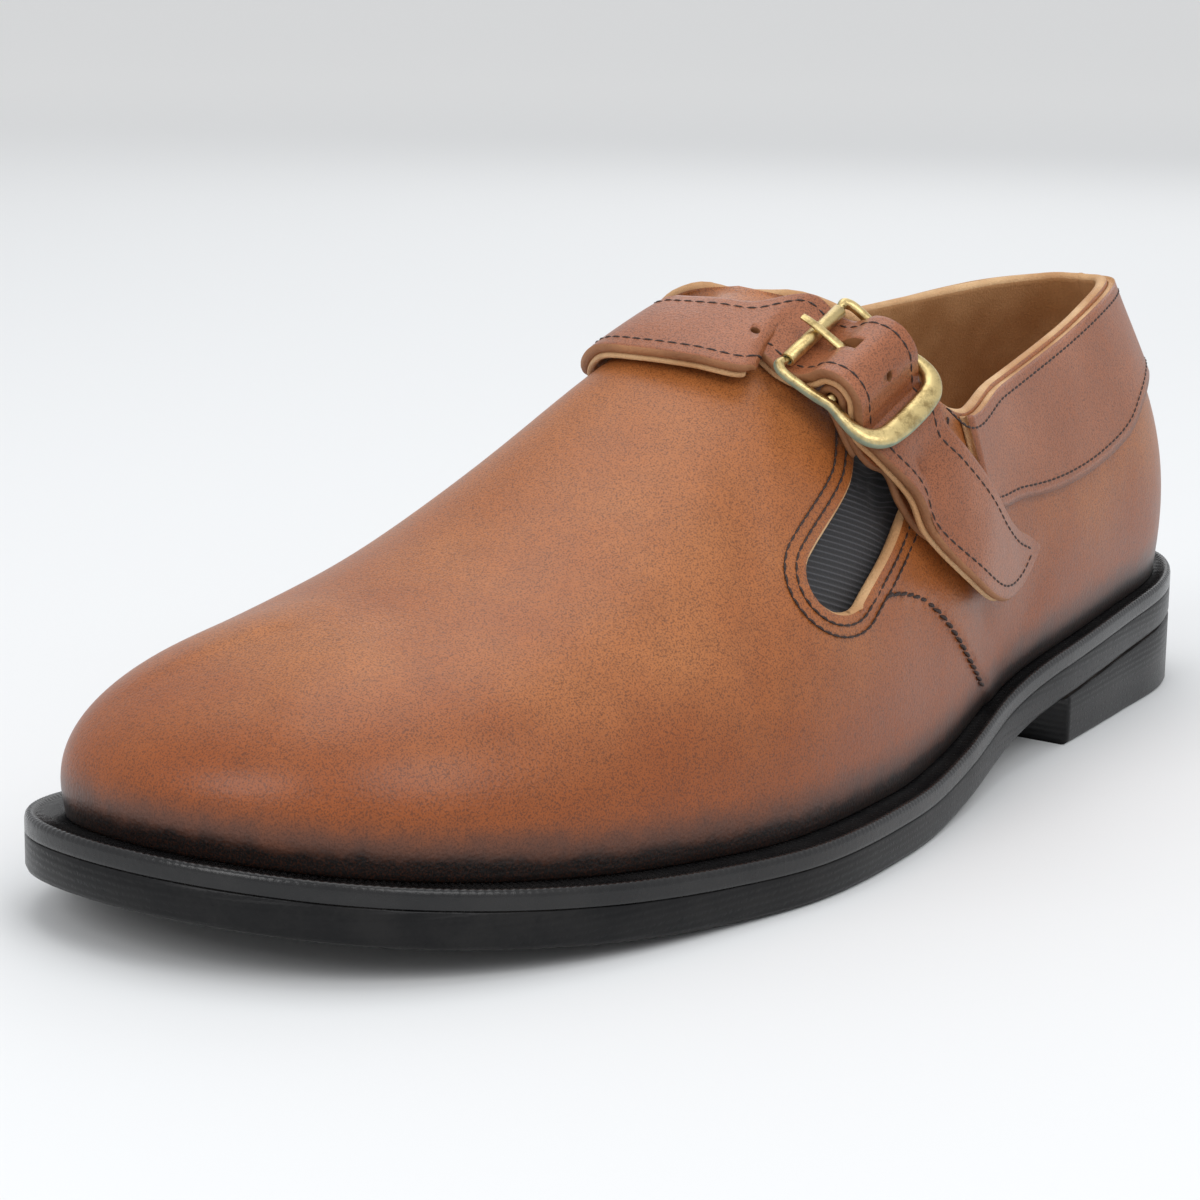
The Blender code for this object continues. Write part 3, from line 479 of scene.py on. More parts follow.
    @staticmethod
    def strip(table: Sequence[Row], width: float, columns: Sequence[float]) -> np.ndarray:
        """Rows of points across a strip that lies over the foot.

        Args:
            table: Rows of share of the length, how far over the foot, height and share of width.
            width: The strip's full width.
            columns: Where each row's points lie, from -1 at one edge to 1 at the other.

        Returns:
            An array of rows of points.
        """
        places: list[Place] = [
            (row[0], LATERAL, row[1]) if row[1] <= 1.0 else (row[0], MEDIAL, 2.0 - row[1])
            for row in table
        ]
        return Last.rows(places, [row[2] for row in table], [row[3] * width for row in table], columns)

    @staticmethod
    def rows(
        places: Sequence[Place],
        heights: Sequence[float],
        widths: Sequence[float],
        columns: Sequence[float],
    ) -> np.ndarray:
        """Rows of points across a middle line of places, at heights above the upper."""
        middles = [Last.point(*place) for place in places]
        ways = np.gradient(np.array(middles), axis=0)
        made = []
        for place, height, width, middle, way in zip(places, heights, widths, middles, ways):
            across = np.cross(Last.normal(*place), way)
            across /= np.linalg.norm(across)
            seated = [Last.seat(middle + across * column * width / 2, place) for column in columns]
            made.append([Last.above(spot, height) for spot in seated])
        return np.array(made)


@dataclass
class Solid:
    """A mesh in the making: its points, faces, each face's finish and each point's map values."""

    points: list[np.ndarray] = field(default_factory=list)
    faces: list[list[int]] = field(default_factory=list)
    layers: list[int] = field(default_factory=list)
    maps: list[tuple[float, float]] = field(default_factory=list)

    def add(
        self,
        points: Sequence[np.ndarray] | np.ndarray,
        faces: Sequence[Sequence[int]],
        layer: int = 0,
        maps: Sequence[tuple[float, float]] | None = None,
    ) -> int:
        """Add points and faces.

        Args:
            points: The points that come new.
            faces: Faces by index among those points.
            layer: The material slot of the faces.
            maps: The points' map values; zeros where left out.

        Returns:
            The index of the first new point.
        """
        first = len(self.points)
        self.points += [np.asarray(point, float) for point in points]
        self.faces += [[first + i for i in face] for face in faces]
        self.layers += [layer] * len(faces)
        self.maps += list(maps) if maps is not None else [(0.0, 0.0)] * len(points)
        return first

    def build(self, name: str, finishes: Sequence[bpy.types.Material]) -> bpy.types.Object:
        """Make the object, smooth shaded, with its finishes and its map.

        Args:
            name: The piece's name.
            finishes: Its material slots in order.

        Returns:
            The object, riding on the shoe's one body.
        """
        mesh = bpy.data.meshes.new(name)
        mesh.from_pydata([tuple(point) for point in self.points], [], self.faces)
        for finish in finishes:
            mesh.materials.append(finish)
        mesh.polygons.foreach_set("material_index", self.layers)
        mesh.polygons.foreach_set("use_smooth", [True] * len(self.faces))
        corners = np.empty(len(mesh.loops), np.int32)
        mesh.loops.foreach_get("vertex_index", corners)
        layer = mesh.uv_layers.new(name=MAP_NAME)
        layer.data.foreach_set("uv", np.array(self.maps, float)[corners].ravel())
        mesh.update()
        mesh.validate()
        made = bpy.data.objects.new(name, mesh)
        bpy.context.scene.collection.objects.link(made)
        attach(made, "root")
        LOG.info("%s: %d faces", name, len(mesh.polygons))
        return made


def grid_faces(rows: int, columns: int, closed: bool = False) -> list[list[int]]:
    """Quads of a grid of points, row by row; closed joins the last row to the first."""
    return [
        [r * columns + c, r * columns + c + 1, n * columns + c + 1, n * columns + c]
        for r in range(rows if closed else rows - 1)
        for n in [(r + 1) % rows]
        for c in range(columns - 1)
    ]


def tube_faces(rings: int, sides: int, closed: bool = False) -> list[list[int]]:
    """Quads of a tube of rings of points, with its ends filled unless it closes on itself."""
    faces = [
        [i * sides + k, j * sides + k, j * sides + m, i * sides + m]
        for i in range(rings if closed else rings - 1)
        for j in [(i + 1) % rings]
        for k in range(sides)
        for m in [(k + 1) % sides]
    ]
    if not closed:
        faces.append(list(range(sides)))
        faces.append([(rings - 1) * sides + k for k in reversed(range(sides))])
    return faces


def surface_normals(points: np.ndarray, faces: Sequence[Sequence[int]]) -> np.ndarray:
    """The direction out of a surface at each of its points."""
    quads = np.array(faces)
    corners = points[quads]
    ways = np.cross(corners[:, 2] - corners[:, 0], corners[:, 3] - corners[:, 1])
    normals = np.zeros_like(points)
    for k in range(quads.shape[1]):
        np.add.at(normals, quads[:, k], ways)
    return normals / np.maximum(np.linalg.norm(normals, axis=1)[:, None], 1e-12)


@dataclass
class Wall:
    """A wall of leather or cloth between two offsets of a surface, with round rims."""

    outer: float
    inner: float
    bulge: float = 0.35

    def solid(
        self,
        points: np.ndarray,
        faces: list[list[int]],
        maps: Sequence[tuple[float, float]] | None = None,
        normals: np.ndarray | None = None,
    ) -> Solid:
        """Close the wall round a surface.

        Args:
            points: The surface's points.
            faces: Its quads, turned outward.
            maps: Map values of each point.
            normals: The directions that the offsets follow, found from the faces if left out.

        Returns:
            The wall as a solid whose faces are outer, rim or inner.
        """
        normals = surface_normals(points, faces) if normals is None else normals
        count = len(points)
        outside = points + normals * self.outer
        inside = points + normals * self.inner
        maps = list(maps) if maps is not None else [(0.0, 0.0)] * count
        made = Solid()
        made.add(outside, faces, Layer.OUTER.value, maps)
        made.add(inside, [face[::-1] for face in faces], Layer.INNER.value, maps)
        directed = {(a, b) for face in faces for a, b in zip(face, face[1:] + face[:1])}
        rims = [(a, b) for a, b in directed if (b, a) not in directed]
        away: dict[int, np.ndarray] = {}
        for a, b in rims:
            way = np.cross(points[b] - points[a], normals[a] + normals[b])
            for i in (a, b):
                away[i] = away.get(i, np.zeros(3)) + way
        middle: dict[int, list[int]] = {}
        thick = abs(self.outer - self.inner)
        for i, way in away.items():
            out = way / max(float(np.linalg.norm(way)), 1e-12)
            steps = [
                outside[i] * (1 - t) + inside[i] * t + out * thick * self.bulge * math.sin(math.pi * t)
                for t in RIM_STEPS
            ]
            first = made.add(steps, [], Layer.RIM.value, [maps[i]] * len(steps))
            middle[i] = [i, *range(first, first + len(steps)), i + count]
        for a, b in rims:
            for low, high in zip(range(len(RIM_STEPS) + 1), range(1, len(RIM_STEPS) + 2)):
                quad = [middle[b][low], middle[a][low], middle[a][high], middle[b][high]]
                made.faces.append(quad)
                made.layers.append(Layer.RIM.value)
        return made


def ribbon(
    rows: np.ndarray, outer: float, inner: float, bulge: float = 0.35
) -> Solid:
    """A strip of leather from a grid of points whose rows run across it."""
    count = rows.shape[1]
    points = rows.reshape(-1, 3)
    run = np.concatenate(
        [[0.0], np.cumsum(np.linalg.norm(np.diff(rows[:, count // 2], axis=0), axis=1))]
    )
    shares = np.linspace(-1.0, 1.0, count)
    maps = [(float(length), float(share)) for length in run for share in shares]
    return Wall(outer, inner, bulge).solid(points, grid_faces(rows.shape[0], count), maps)


def cut(target: bpy.types.Object, solid: Solid, layer: Layer = Layer.RIM) -> None:
    """Cut a solid out of an object for good; the cut's faces take one of its finishes."""
    mesh = bpy.data.meshes.new("cutter")
    mesh.from_pydata([tuple(point) for point in solid.points], [], solid.faces)
    for finish in target.data.materials:
        mesh.materials.append(finish)
    mesh.polygons.foreach_set("material_index", [layer.value] * len(mesh.polygons))
    mesh.uv_layers.new(name=MAP_NAME)
    cutter = bpy.data.objects.new("cutter", mesh)
    bpy.context.scene.collection.objects.link(cutter)
    boolean = target.modifiers.new("cut", "BOOLEAN")
    boolean.object = cutter
    boolean.operation = "DIFFERENCE"
    boolean.solver = "EXACT"
    boolean.material_mode = "INDEX"
    graph = bpy.context.evaluated_depsgraph_get()
    result = bpy.data.meshes.new_from_object(target.evaluated_get(graph))
    target.modifiers.remove(boolean)
    old = target.data
    target.data = result
    result.name = old.name if not old.users else target.name
    bpy.data.objects.remove(cutter)
    bpy.data.meshes.remove(mesh)
    if not old.users:
        bpy.data.meshes.remove(old)


class Value:
    """A number's socket in a material, with the arithmetic that writes its Math nodes."""

    def __init__(self, paint: Paint, socket: bpy.types.NodeSocket) -> None:
        """Wrap a socket of a material in the making."""
        self.paint = paint
        self.socket = socket

    def math(self, operation: str, *others: Value | float, first: float | None = None) -> Value:
        """Add a Math node on this value.

        Args:
            operation: The node's operation.
            others: Its further inputs.
            first: A number to put before this value, which then comes second.

        Returns:
            The node's result.
        """
        inputs = [self, *others] if first is None else [first, self, *others]
        made = self.paint.node("Math", {"operation": operation}, dict(enumerate(inputs)))
        return Value(self.paint, made.outputs[0])

    def __add__(self, other: Value | float) -> Value:
        """Sum."""
        return self.math("ADD", other)

    __radd__ = __add__

    def __mul__(self, other: Value | float) -> Value:
        """Product."""
        return self.math("MULTIPLY", other)

    __rmul__ = __mul__

    def __sub__(self, other: Value | float) -> Value:
        """Difference."""
        return self.math("SUBTRACT", other)

    def __rsub__(self, other: float) -> Value:
        """Difference from a number."""
        return self.math("SUBTRACT", first=other)

    def __truediv__(self, other: Value | float) -> Value:
        """Quotient."""
        return self.math("DIVIDE", other)

    def __abs__(self) -> Value:
        """Size without sign."""
        return self.math("ABSOLUTE")

    def sine(self) -> Value:
        """Sine of the value in radians."""
        return self.math("SINE")

    def least(self, other: Value | float) -> Value:
        """The smaller of two values."""
        return self.math("MINIMUM", other)

    def most(self, other: Value | float) -> Value:
        """The larger of two values."""
        return self.math("MAXIMUM", other)

    def between(self, low: float, high: float) -> Value:
        """A smooth step from 0 at one value to 1 at another, which may be the lower one."""
        settings = {"interpolation_type": "SMOOTHSTEP"}
        made = self.paint.node("MapRange", settings, {0: self, 1: low, 2: high, 3: 0.0, 4: 1.0})
        return Value(self.paint, made.outputs[0])


Colour = tuple[float, float, float]


class Paint:
    """A material in the making."""

    def __init__(self, name: str) -> None:
        """Start a material of one Principled shader."""
        self.material = bpy.data.materials.new(name)
        self.material.use_nodes = True
        self.tree = self.material.node_tree
        self.shader = self.tree.nodes["Principled BSDF"]

    def node(
        self, kind: str, settings: dict[str, object] | None = None, inputs: dict | None = None
    ) -> bpy.types.Node:
        """Add a node.

        Args:
            kind: The node's type after ShaderNode.
            settings: Its settings, such as an operation, set first.
            inputs: Values, colours or links by the socket's name or number.

        Returns:
            The node.
        """
        made = self.tree.nodes.new(f"ShaderNode{kind}")
        for name, value in (settings or {}).items():
            setattr(made, name, value)
        for name, value in (inputs or {}).items():
            self.feed(made.inputs[name], value)
        return made

    def feed(self, socket: bpy.types.NodeSocket, value: object) -> None:
        """Link a value or a socket to a socket, or set it to a number or a colour."""
        if isinstance(value, Value):
            self.tree.links.new(value.socket, socket)
        elif isinstance(value, bpy.types.NodeSocket):
            self.tree.links.new(value, socket)
        elif isinstance(value, tuple) and socket.type == "RGBA":
            socket.default_value = (*value, 1.0)
        else:
            socket.default_value = value

    def map_values(self) -> tuple[Value, Value]:
        """The two values of the piece's map."""
        source = self.node("UVMap", {"uv_map": MAP_NAME})
        split = self.node("SeparateXYZ", None, {0: source.outputs[0]})
        return Value(self, split.outputs[0]), Value(self, split.outputs[1])

    def world(self) -> bpy.types.NodeSocket:
        """The place on the shoe, in metres."""
        return self.node("TexCoord").outputs["Object"]

    def length(self, place: bpy.types.NodeSocket) -> Value:
        """How far a place is from the origin."""
        made = self.node("VectorMath", {"operation": "LENGTH"}, {0: place})
        return Value(self, made.outputs["Value"])

    def noise(self, scale: float, detail: float = 3.0, rough: float = 0.5) -> Value:
        """Soft noise from 0 to 1, its scale in waves a metre."""
        inputs = {"Vector": self.world(), "Scale": scale, "Detail": detail, "Roughness": rough}
        made = self.node("TexNoise", None, inputs)
        return Value(self, made.outputs[0])

    def cells(self, scale: float, feature: str = "F1") -> Value:
        """The distance to the middle of the cell that a point lies in."""
        inputs = {"Vector": self.world(), "Scale": scale}
        made = self.node("TexVoronoi", {"feature": feature}, inputs)
        return Value(self, made.outputs[0])

    def mix(self, first: object, second: object, share: Value | float) -> bpy.types.NodeSocket:
        """A colour between two."""
        made = self.node("Mix", {"data_type": "RGBA"}, {0: share, 6: first, 7: second})
        return made.outputs[2]

    def tint(self, colour: object, factor: Value) -> bpy.types.NodeSocket:
        """A colour made darker or lighter by a value, through Vector Math."""
        made = self.node("VectorMath", {"operation": "SCALE"}, {0: colour, "Scale": factor})
        return made.outputs[0]

    def bump(self, height: Value, distance: float, strength: float = 1.0) -> bpy.types.NodeSocket:
        """A normal from a height between 0 and 1 and its real distance."""
        inputs = {"Height": height, "Distance": distance, "Strength": strength}
        return self.node("Bump", None, inputs).outputs[0]

    def finish(self, links: dict[str, object], numbers: dict[str, object]) -> bpy.types.Material:
        """Feed the shader.

        Args:
            links: What changes over the surface, by socket.
            numbers: What is the same all over, by socket.

        Returns:
            The material.
        """
        for name, value in {**numbers, **links}.items():
            self.feed(self.shader.inputs[name], value)
        return self.material


@dataclass(frozen=True)
class Leather:
    """Tan calf with a fine dark grain; higher up it has a painted highlight, low on the shoe it is burnished, has
    painted shade above the welt, then is dressed black.
    """

    name: str
    base: Colour
    light: Colour
    burnish: Colour = (0.250, 0.052, 0.002)
    # Colour of the painted shade along the foot of the upper, just above the welt.
    shade_above_welt: Colour = (0.060, 0.028, 0.020)
    dressing: Colour = (0.004, 0.0035, 0.0035)
    speck: Colour = (0.055, 0.014, 0.004)
    roughness: float = 0.43
    # Whether the leather gets its height tones: painted highlight, burnish, painted shade and black dressing.
    shaded: bool = True

    def build(self) -> bpy.types.Material:
        """Write the material; its map holds height over the feather and height in all."""
        paint = Paint(self.name)
        cloud = paint.noise(38.0, 3.0)
        mottle = paint.noise(210.0, 4.0, 0.6)
        grain = paint.cells(1500.0)
        pores = paint.noise(3300.0, 2.0, 0.6)
        colour = paint.mix(self.base, self.light, cloud.between(0.22, 0.84))
        if self.shaded:
            feather, height = paint.map_values()
            wave = (cloud - 0.5) * 0.010
            low = feather + wave
            # Painted highlight: the higher the leather stands, the more it is mixed toward its light tone, so the
            # top of the upper looks lit.
            colour = paint.mix(colour, self.light, (height + wave).between(0.040, 0.082) * 0.55)
            colour = paint.mix(colour, self.burnish, low.between(0.034, 0.010) * 0.85)
            edge = feather + (mottle - 0.5) * 0.004
            # Painted shade: the leather darkens toward the welt, from about 10 mm to 4 mm above the feather.
            colour = paint.mix(colour, self.shade_above_welt, edge.between(0.0105, 0.0040) * 0.80)
            colour = paint.mix(colour, self.dressing, edge.between(0.0050, 0.0022))
        specks = pores.between(0.46, 0.64) * 0.62
        colour = paint.mix(colour, self.speck, specks)
        colour = paint.tint(colour, mottle * 0.34 + 0.83)
        relief = (grain * 0.55 + pores * 0.30 + mottle * 0.9)
        links = {
            "Base Color": colour,
            "Roughness": mottle * 0.16 + (self.roughness - 0.08),
            "Normal": paint.bump(relief, 0.00022, 0.55),
        }
        fixed = {"Coat Weight": 0.28, "Coat Roughness": 0.30, "Specular IOR Level": 0.34}
        return paint.finish(links, fixed)


@dataclass(frozen=True)
class Lining:
    """Natural lining leather, matt and a little cloudy, or the raw cut edge of leather."""

    name: str
    base: Colour
    light: Colour
    fuzz: float = 0.0003

    def build(self) -> bpy.types.Material:
        """Write the material."""
        paint = Paint(self.name)
        cloud = paint.noise(60.0, 3.0)
        fibre = paint.noise(1900.0, 3.0, 0.7)
        colour = paint.mix(self.base, self.light, cloud.between(0.35, 0.68))
        colour = paint.tint(colour, fibre * 0.5 + 0.75)
        links = {
            "Base Color": colour,
            "Roughness": fibre * 0.2 + 0.58,
            "Normal": paint.bump(fibre, self.fuzz, 0.7),
        }
        return paint.finish(links, {})


@dataclass(frozen=True)
class Elastic:
    """Black elastic webbing: threads run along it between its cross ribs."""

    name: str = "elastic_black"
    base: Colour = (0.012, 0.012, 0.014)
    # Colour of the painted highlight on the crests of the ribs.
    rib_highlight: Colour = (0.075, 0.075, 0.085)

    def build(self) -> bpy.types.Material:
        """Write the material; its map holds the length along and the share across."""
        paint = Paint(self.name)
        along, across = paint.map_values()
        wave = (along * (2 * math.pi / RIB_PITCH)).sine() * 0.5 + 0.5
        threads = (across * 95.0).sine() * 0.5 + 0.5
        fibre = paint.noise(2400.0, 2.0)
        # Painted highlight: the crests of the ribs are painted lighter, as shine.
        shine = wave.between(0.72, 1.0) * (fibre * 0.7 + 0.3)
        links = {
            "Base Color": paint.mix(self.base, self.rib_highlight, shine),
            "Roughness": fibre * 0.25 + 0.60,
            "Normal": paint.bump(threads * 0.5 + fibre * 0.5, 0.00018, 0.6),
        }
        return paint.finish(links, {"Sheen Weight": 0.15, "Sheen Roughness": 0.5})


@dataclass(frozen=True)
class Brass:
    """Pale antique brass, worn bright on top, dull and green in its corners."""

    name: str = "buckle_brass"
    bright: Colour = (0.72, 0.56, 0.26)
    dull: Colour = (0.36, 0.26, 0.11)
    green: Colour = (0.16, 0.28, 0.24)

    def build(self) -> bpy.types.Material:
        """Write the material; the first value of its map is how deep in a corner a point is."""
        paint = Paint(self.name)
        corner, _ = paint.map_values()
        cloud = paint.noise(420.0, 3.0, 0.6)
        pits = paint.noise(2600.0, 3.0, 0.7)
        worn = (cloud + pits * 0.4).between(0.45, 0.82)
        colour = paint.mix(self.dull, self.bright, worn)
        crust = (corner + (pits - 0.5) * 0.6).between(0.55, 0.95)
        colour = paint.mix(colour, self.green, crust * 0.75)
        links = {
            "Base Color": colour,
            "Roughness": (pits * 0.25 + 0.22) + crust * 0.35,
            "Metallic": 1.0 - crust * 0.8,
            "Normal": paint.bump(pits + cloud, 0.00008, 0.6),
        }
        return paint.finish(links, {})


@dataclass(frozen=True)
class Dressing:
    """Black edge dressing on sole leather, with fine lines left by the edge iron."""

    name: str
    base: Colour = (0.0035, 0.0035, 0.0040)
    worn: Colour = (0.010, 0.0095, 0.0095)
    roughness: float = 0.27
    lines: float = 0.6
    gloss: float = 0.22

    def build(self) -> bpy.types.Material:
        """Write the material."""
        paint = Paint(self.name)
        split = paint.node("SeparateXYZ", None, {0: paint.world()})
        height = Value(paint, split.outputs[2])
        cloud = paint.noise(90.0, 3.0)
        fibre = paint.noise(900.0, 4.0, 0.7)
        stripes = ((height * 5200.0) + fibre * 5.0).sine() * 0.5 + 0.5
        colour = paint.mix(self.base, self.worn, (cloud + fibre * 0.5).between(0.55, 1.0))
        links = {
            "Base Color": colour,
            "Roughness": fibre * 0.22 + (self.roughness - 0.06),
            "Normal": paint.bump(stripes * self.lines + fibre, 0.00012, 0.55),
        }
        return paint.finish(links, {"Specular IOR Level": self.gloss})


@dataclass(frozen=True)
class Thread:
    """Waxed thread, twisted, dark."""

    name: str
    base: Colour

    def build(self) -> bpy.types.Material:
        """Write the material; the first value of its map is the length along a stitch."""
        paint = Paint(self.name)
        along, around = paint.map_values()
        twist = ((along * 9000.0) + around * 6.0).sine() * 0.5 + 0.5
        # Painted shade and highlight: the thread is darker in the grooves of its twist and lighter on its ridges.
        colour = paint.tint(self.base, twist * 0.5 + 0.7)
        links = {"Base Color": colour, "Normal": paint.bump(twist, 0.00008, 0.8)}
        return paint.finish(links, {"Roughness": 0.62})


@dataclass(frozen=True)
class Ground:
    """The studio's floor: plain, pale and matt, and a little paler away from the lamps."""

    name: str = "floor_pale"
    near: Colour = (0.77, 0.78, 0.785)
    far: Colour = (0.935, 0.930, 0.915)

    def build(self) -> bpy.types.Material:
        """Write the material."""
        paint = Paint(self.name)
        away = paint.length(paint.world())
        # Painted light: the floor is painted darker near the shoe and paler away from the lamps.
        colour = paint.mix(self.near, self.far, away.between(0.45, 3.0))
        return paint.finish({"Base Color": colour}, {"Roughness": 0.75, "Specular IOR Level": 0.2})


@dataclass
class Palette:
    """Every finish of the shoe, built once."""

    upper: bpy.types.Material = field(
        default_factory=lambda: Leather("leather_upper", (0.318, 0.086, 0.016), (0.405, 0.140, 0.038)).build()
    )
    strap: bpy.types.Material = field(
        default_factory=lambda: Leather(
            "leather_strap", (0.285, 0.085, 0.028), (0.380, 0.135, 0.060), shaded=False
        ).build()
    )
    lining: bpy.types.Material = field(
        default_factory=lambda: Lining("lining_tan", (0.42, 0.200, 0.072), (0.56, 0.30, 0.13)).build()
    )
    raw: bpy.types.Material = field(
        default_factory=lambda: Lining("edge_raw", (0.50, 0.26, 0.11), (0.68, 0.43, 0.22), 0.0005).build()
    )
    cut_edge: bpy.types.Material = field(
        default_factory=lambda: Lining("edge_stained", (0.22, 0.085, 0.030), (0.36, 0.16, 0.065)).build()
    )
    elastic: bpy.types.Material = field(default_factory=lambda: Elastic().build())
    brass: bpy.types.Material = field(default_factory=lambda: Brass().build())
    edge: bpy.types.Material = field(default_factory=lambda: Dressing("edge_black").build())
    ribs: bpy.types.Material = field(
        default_factory=lambda: Dressing("welt_black", roughness=0.20, lines=0.0, gloss=0.45).build()
    )
    under: bpy.types.Material = field(
        default_factory=lambda: Dressing("sole_under", (0.016, 0.012, 0.010), (0.06, 0.045, 0.035), 0.5, 0.0).build()
    )
    thread: bpy.types.Material = field(
        default_factory=lambda: Thread("thread_dark", (0.030, 0.013, 0.009)).build()
    )
    floor: bpy.types.Material = field(default_factory=lambda: Ground().build())


def ellipse_ring(
    centre: np.ndarray, wide: np.ndarray, high: np.ndarray, sides: int, power: float = 1.0
) -> list[np.ndarray]:
    """A ring of points round a centre; a power under 1 squares its corners."""
    ring = []
    for k in range(sides):
        angle = 2 * math.pi * (k + 0.5) / sides
        across = math.copysign(abs(math.cos(angle)) ** power, math.cos(angle))
        up = math.copysign(abs(math.sin(angle)) ** power, math.sin(angle))
        ring.append(centre + wide * across + high * up)
    return ring


@dataclass
class Seam:
    """A row of stitches along a line on the shoe."""

    pitch: float = 0.0024
    length: float = 0.0019
    radius: float = 0.00030
    turn: float = 0.0
    sides: int = 6
    ends: tuple[float, ...] = (-1.0, -0.8, -0.3, 0.3, 0.8, 1.0)

    def sew(self, made: Solid, line: np.ndarray, normals: np.ndarray) -> None:
        """Add the stitches of one line.

        Args:
            made: The solid that they join.
            line: Points along the seam, on the leather's face.
            normals: The directions out of the leather there.
        """
        run = np.concatenate([[0.0], np.cumsum(np.linalg.norm(np.diff(line, axis=0), axis=1))])
        count = max(1, int(run[-1] / self.pitch))
        for k in range(count):
            middle = (k + 0.5) * run[-1] / count
            at = np.array([np.interp(middle, run, line[:, i]) for i in range(3)])
            out = np.array([np.interp(middle, run, normals[:, i]) for i in range(3)])
            out /= np.linalg.norm(out)
            spots = [middle - self.length / 2, middle + self.length / 2]
            ends = [np.array([np.interp(s, run, line[:, i]) for i in range(3)]) for s in spots]
            way = ends[1] - ends[0]
            way -= out * (way @ out)
            way /= max(float(np.linalg.norm(way)), 1e-12)
            side = np.cross(out, way)
            lean = math.radians(self.turn)
            way, side = way * math.cos(lean) + side * math.sin(lean), side * math.cos(lean) - way * math.sin(lean)
            rings = []
            maps = []
            for share in self.ends:
                thick = self.radius * math.sqrt(max(0.0, 1.06 - share * share))
                sink = self.radius * (0.25 - 0.9 * share * share)
                centre = at + way * share * self.length / 2 + out * sink
                rings += ellipse_ring(centre, side * thick, out * thick, self.sides)
                maps += [(share * self.length / 2, i / self.sides) for i in range(self.sides)]
            made.add(rings, tube_faces(len(self.ends), self.sides), 0, maps)


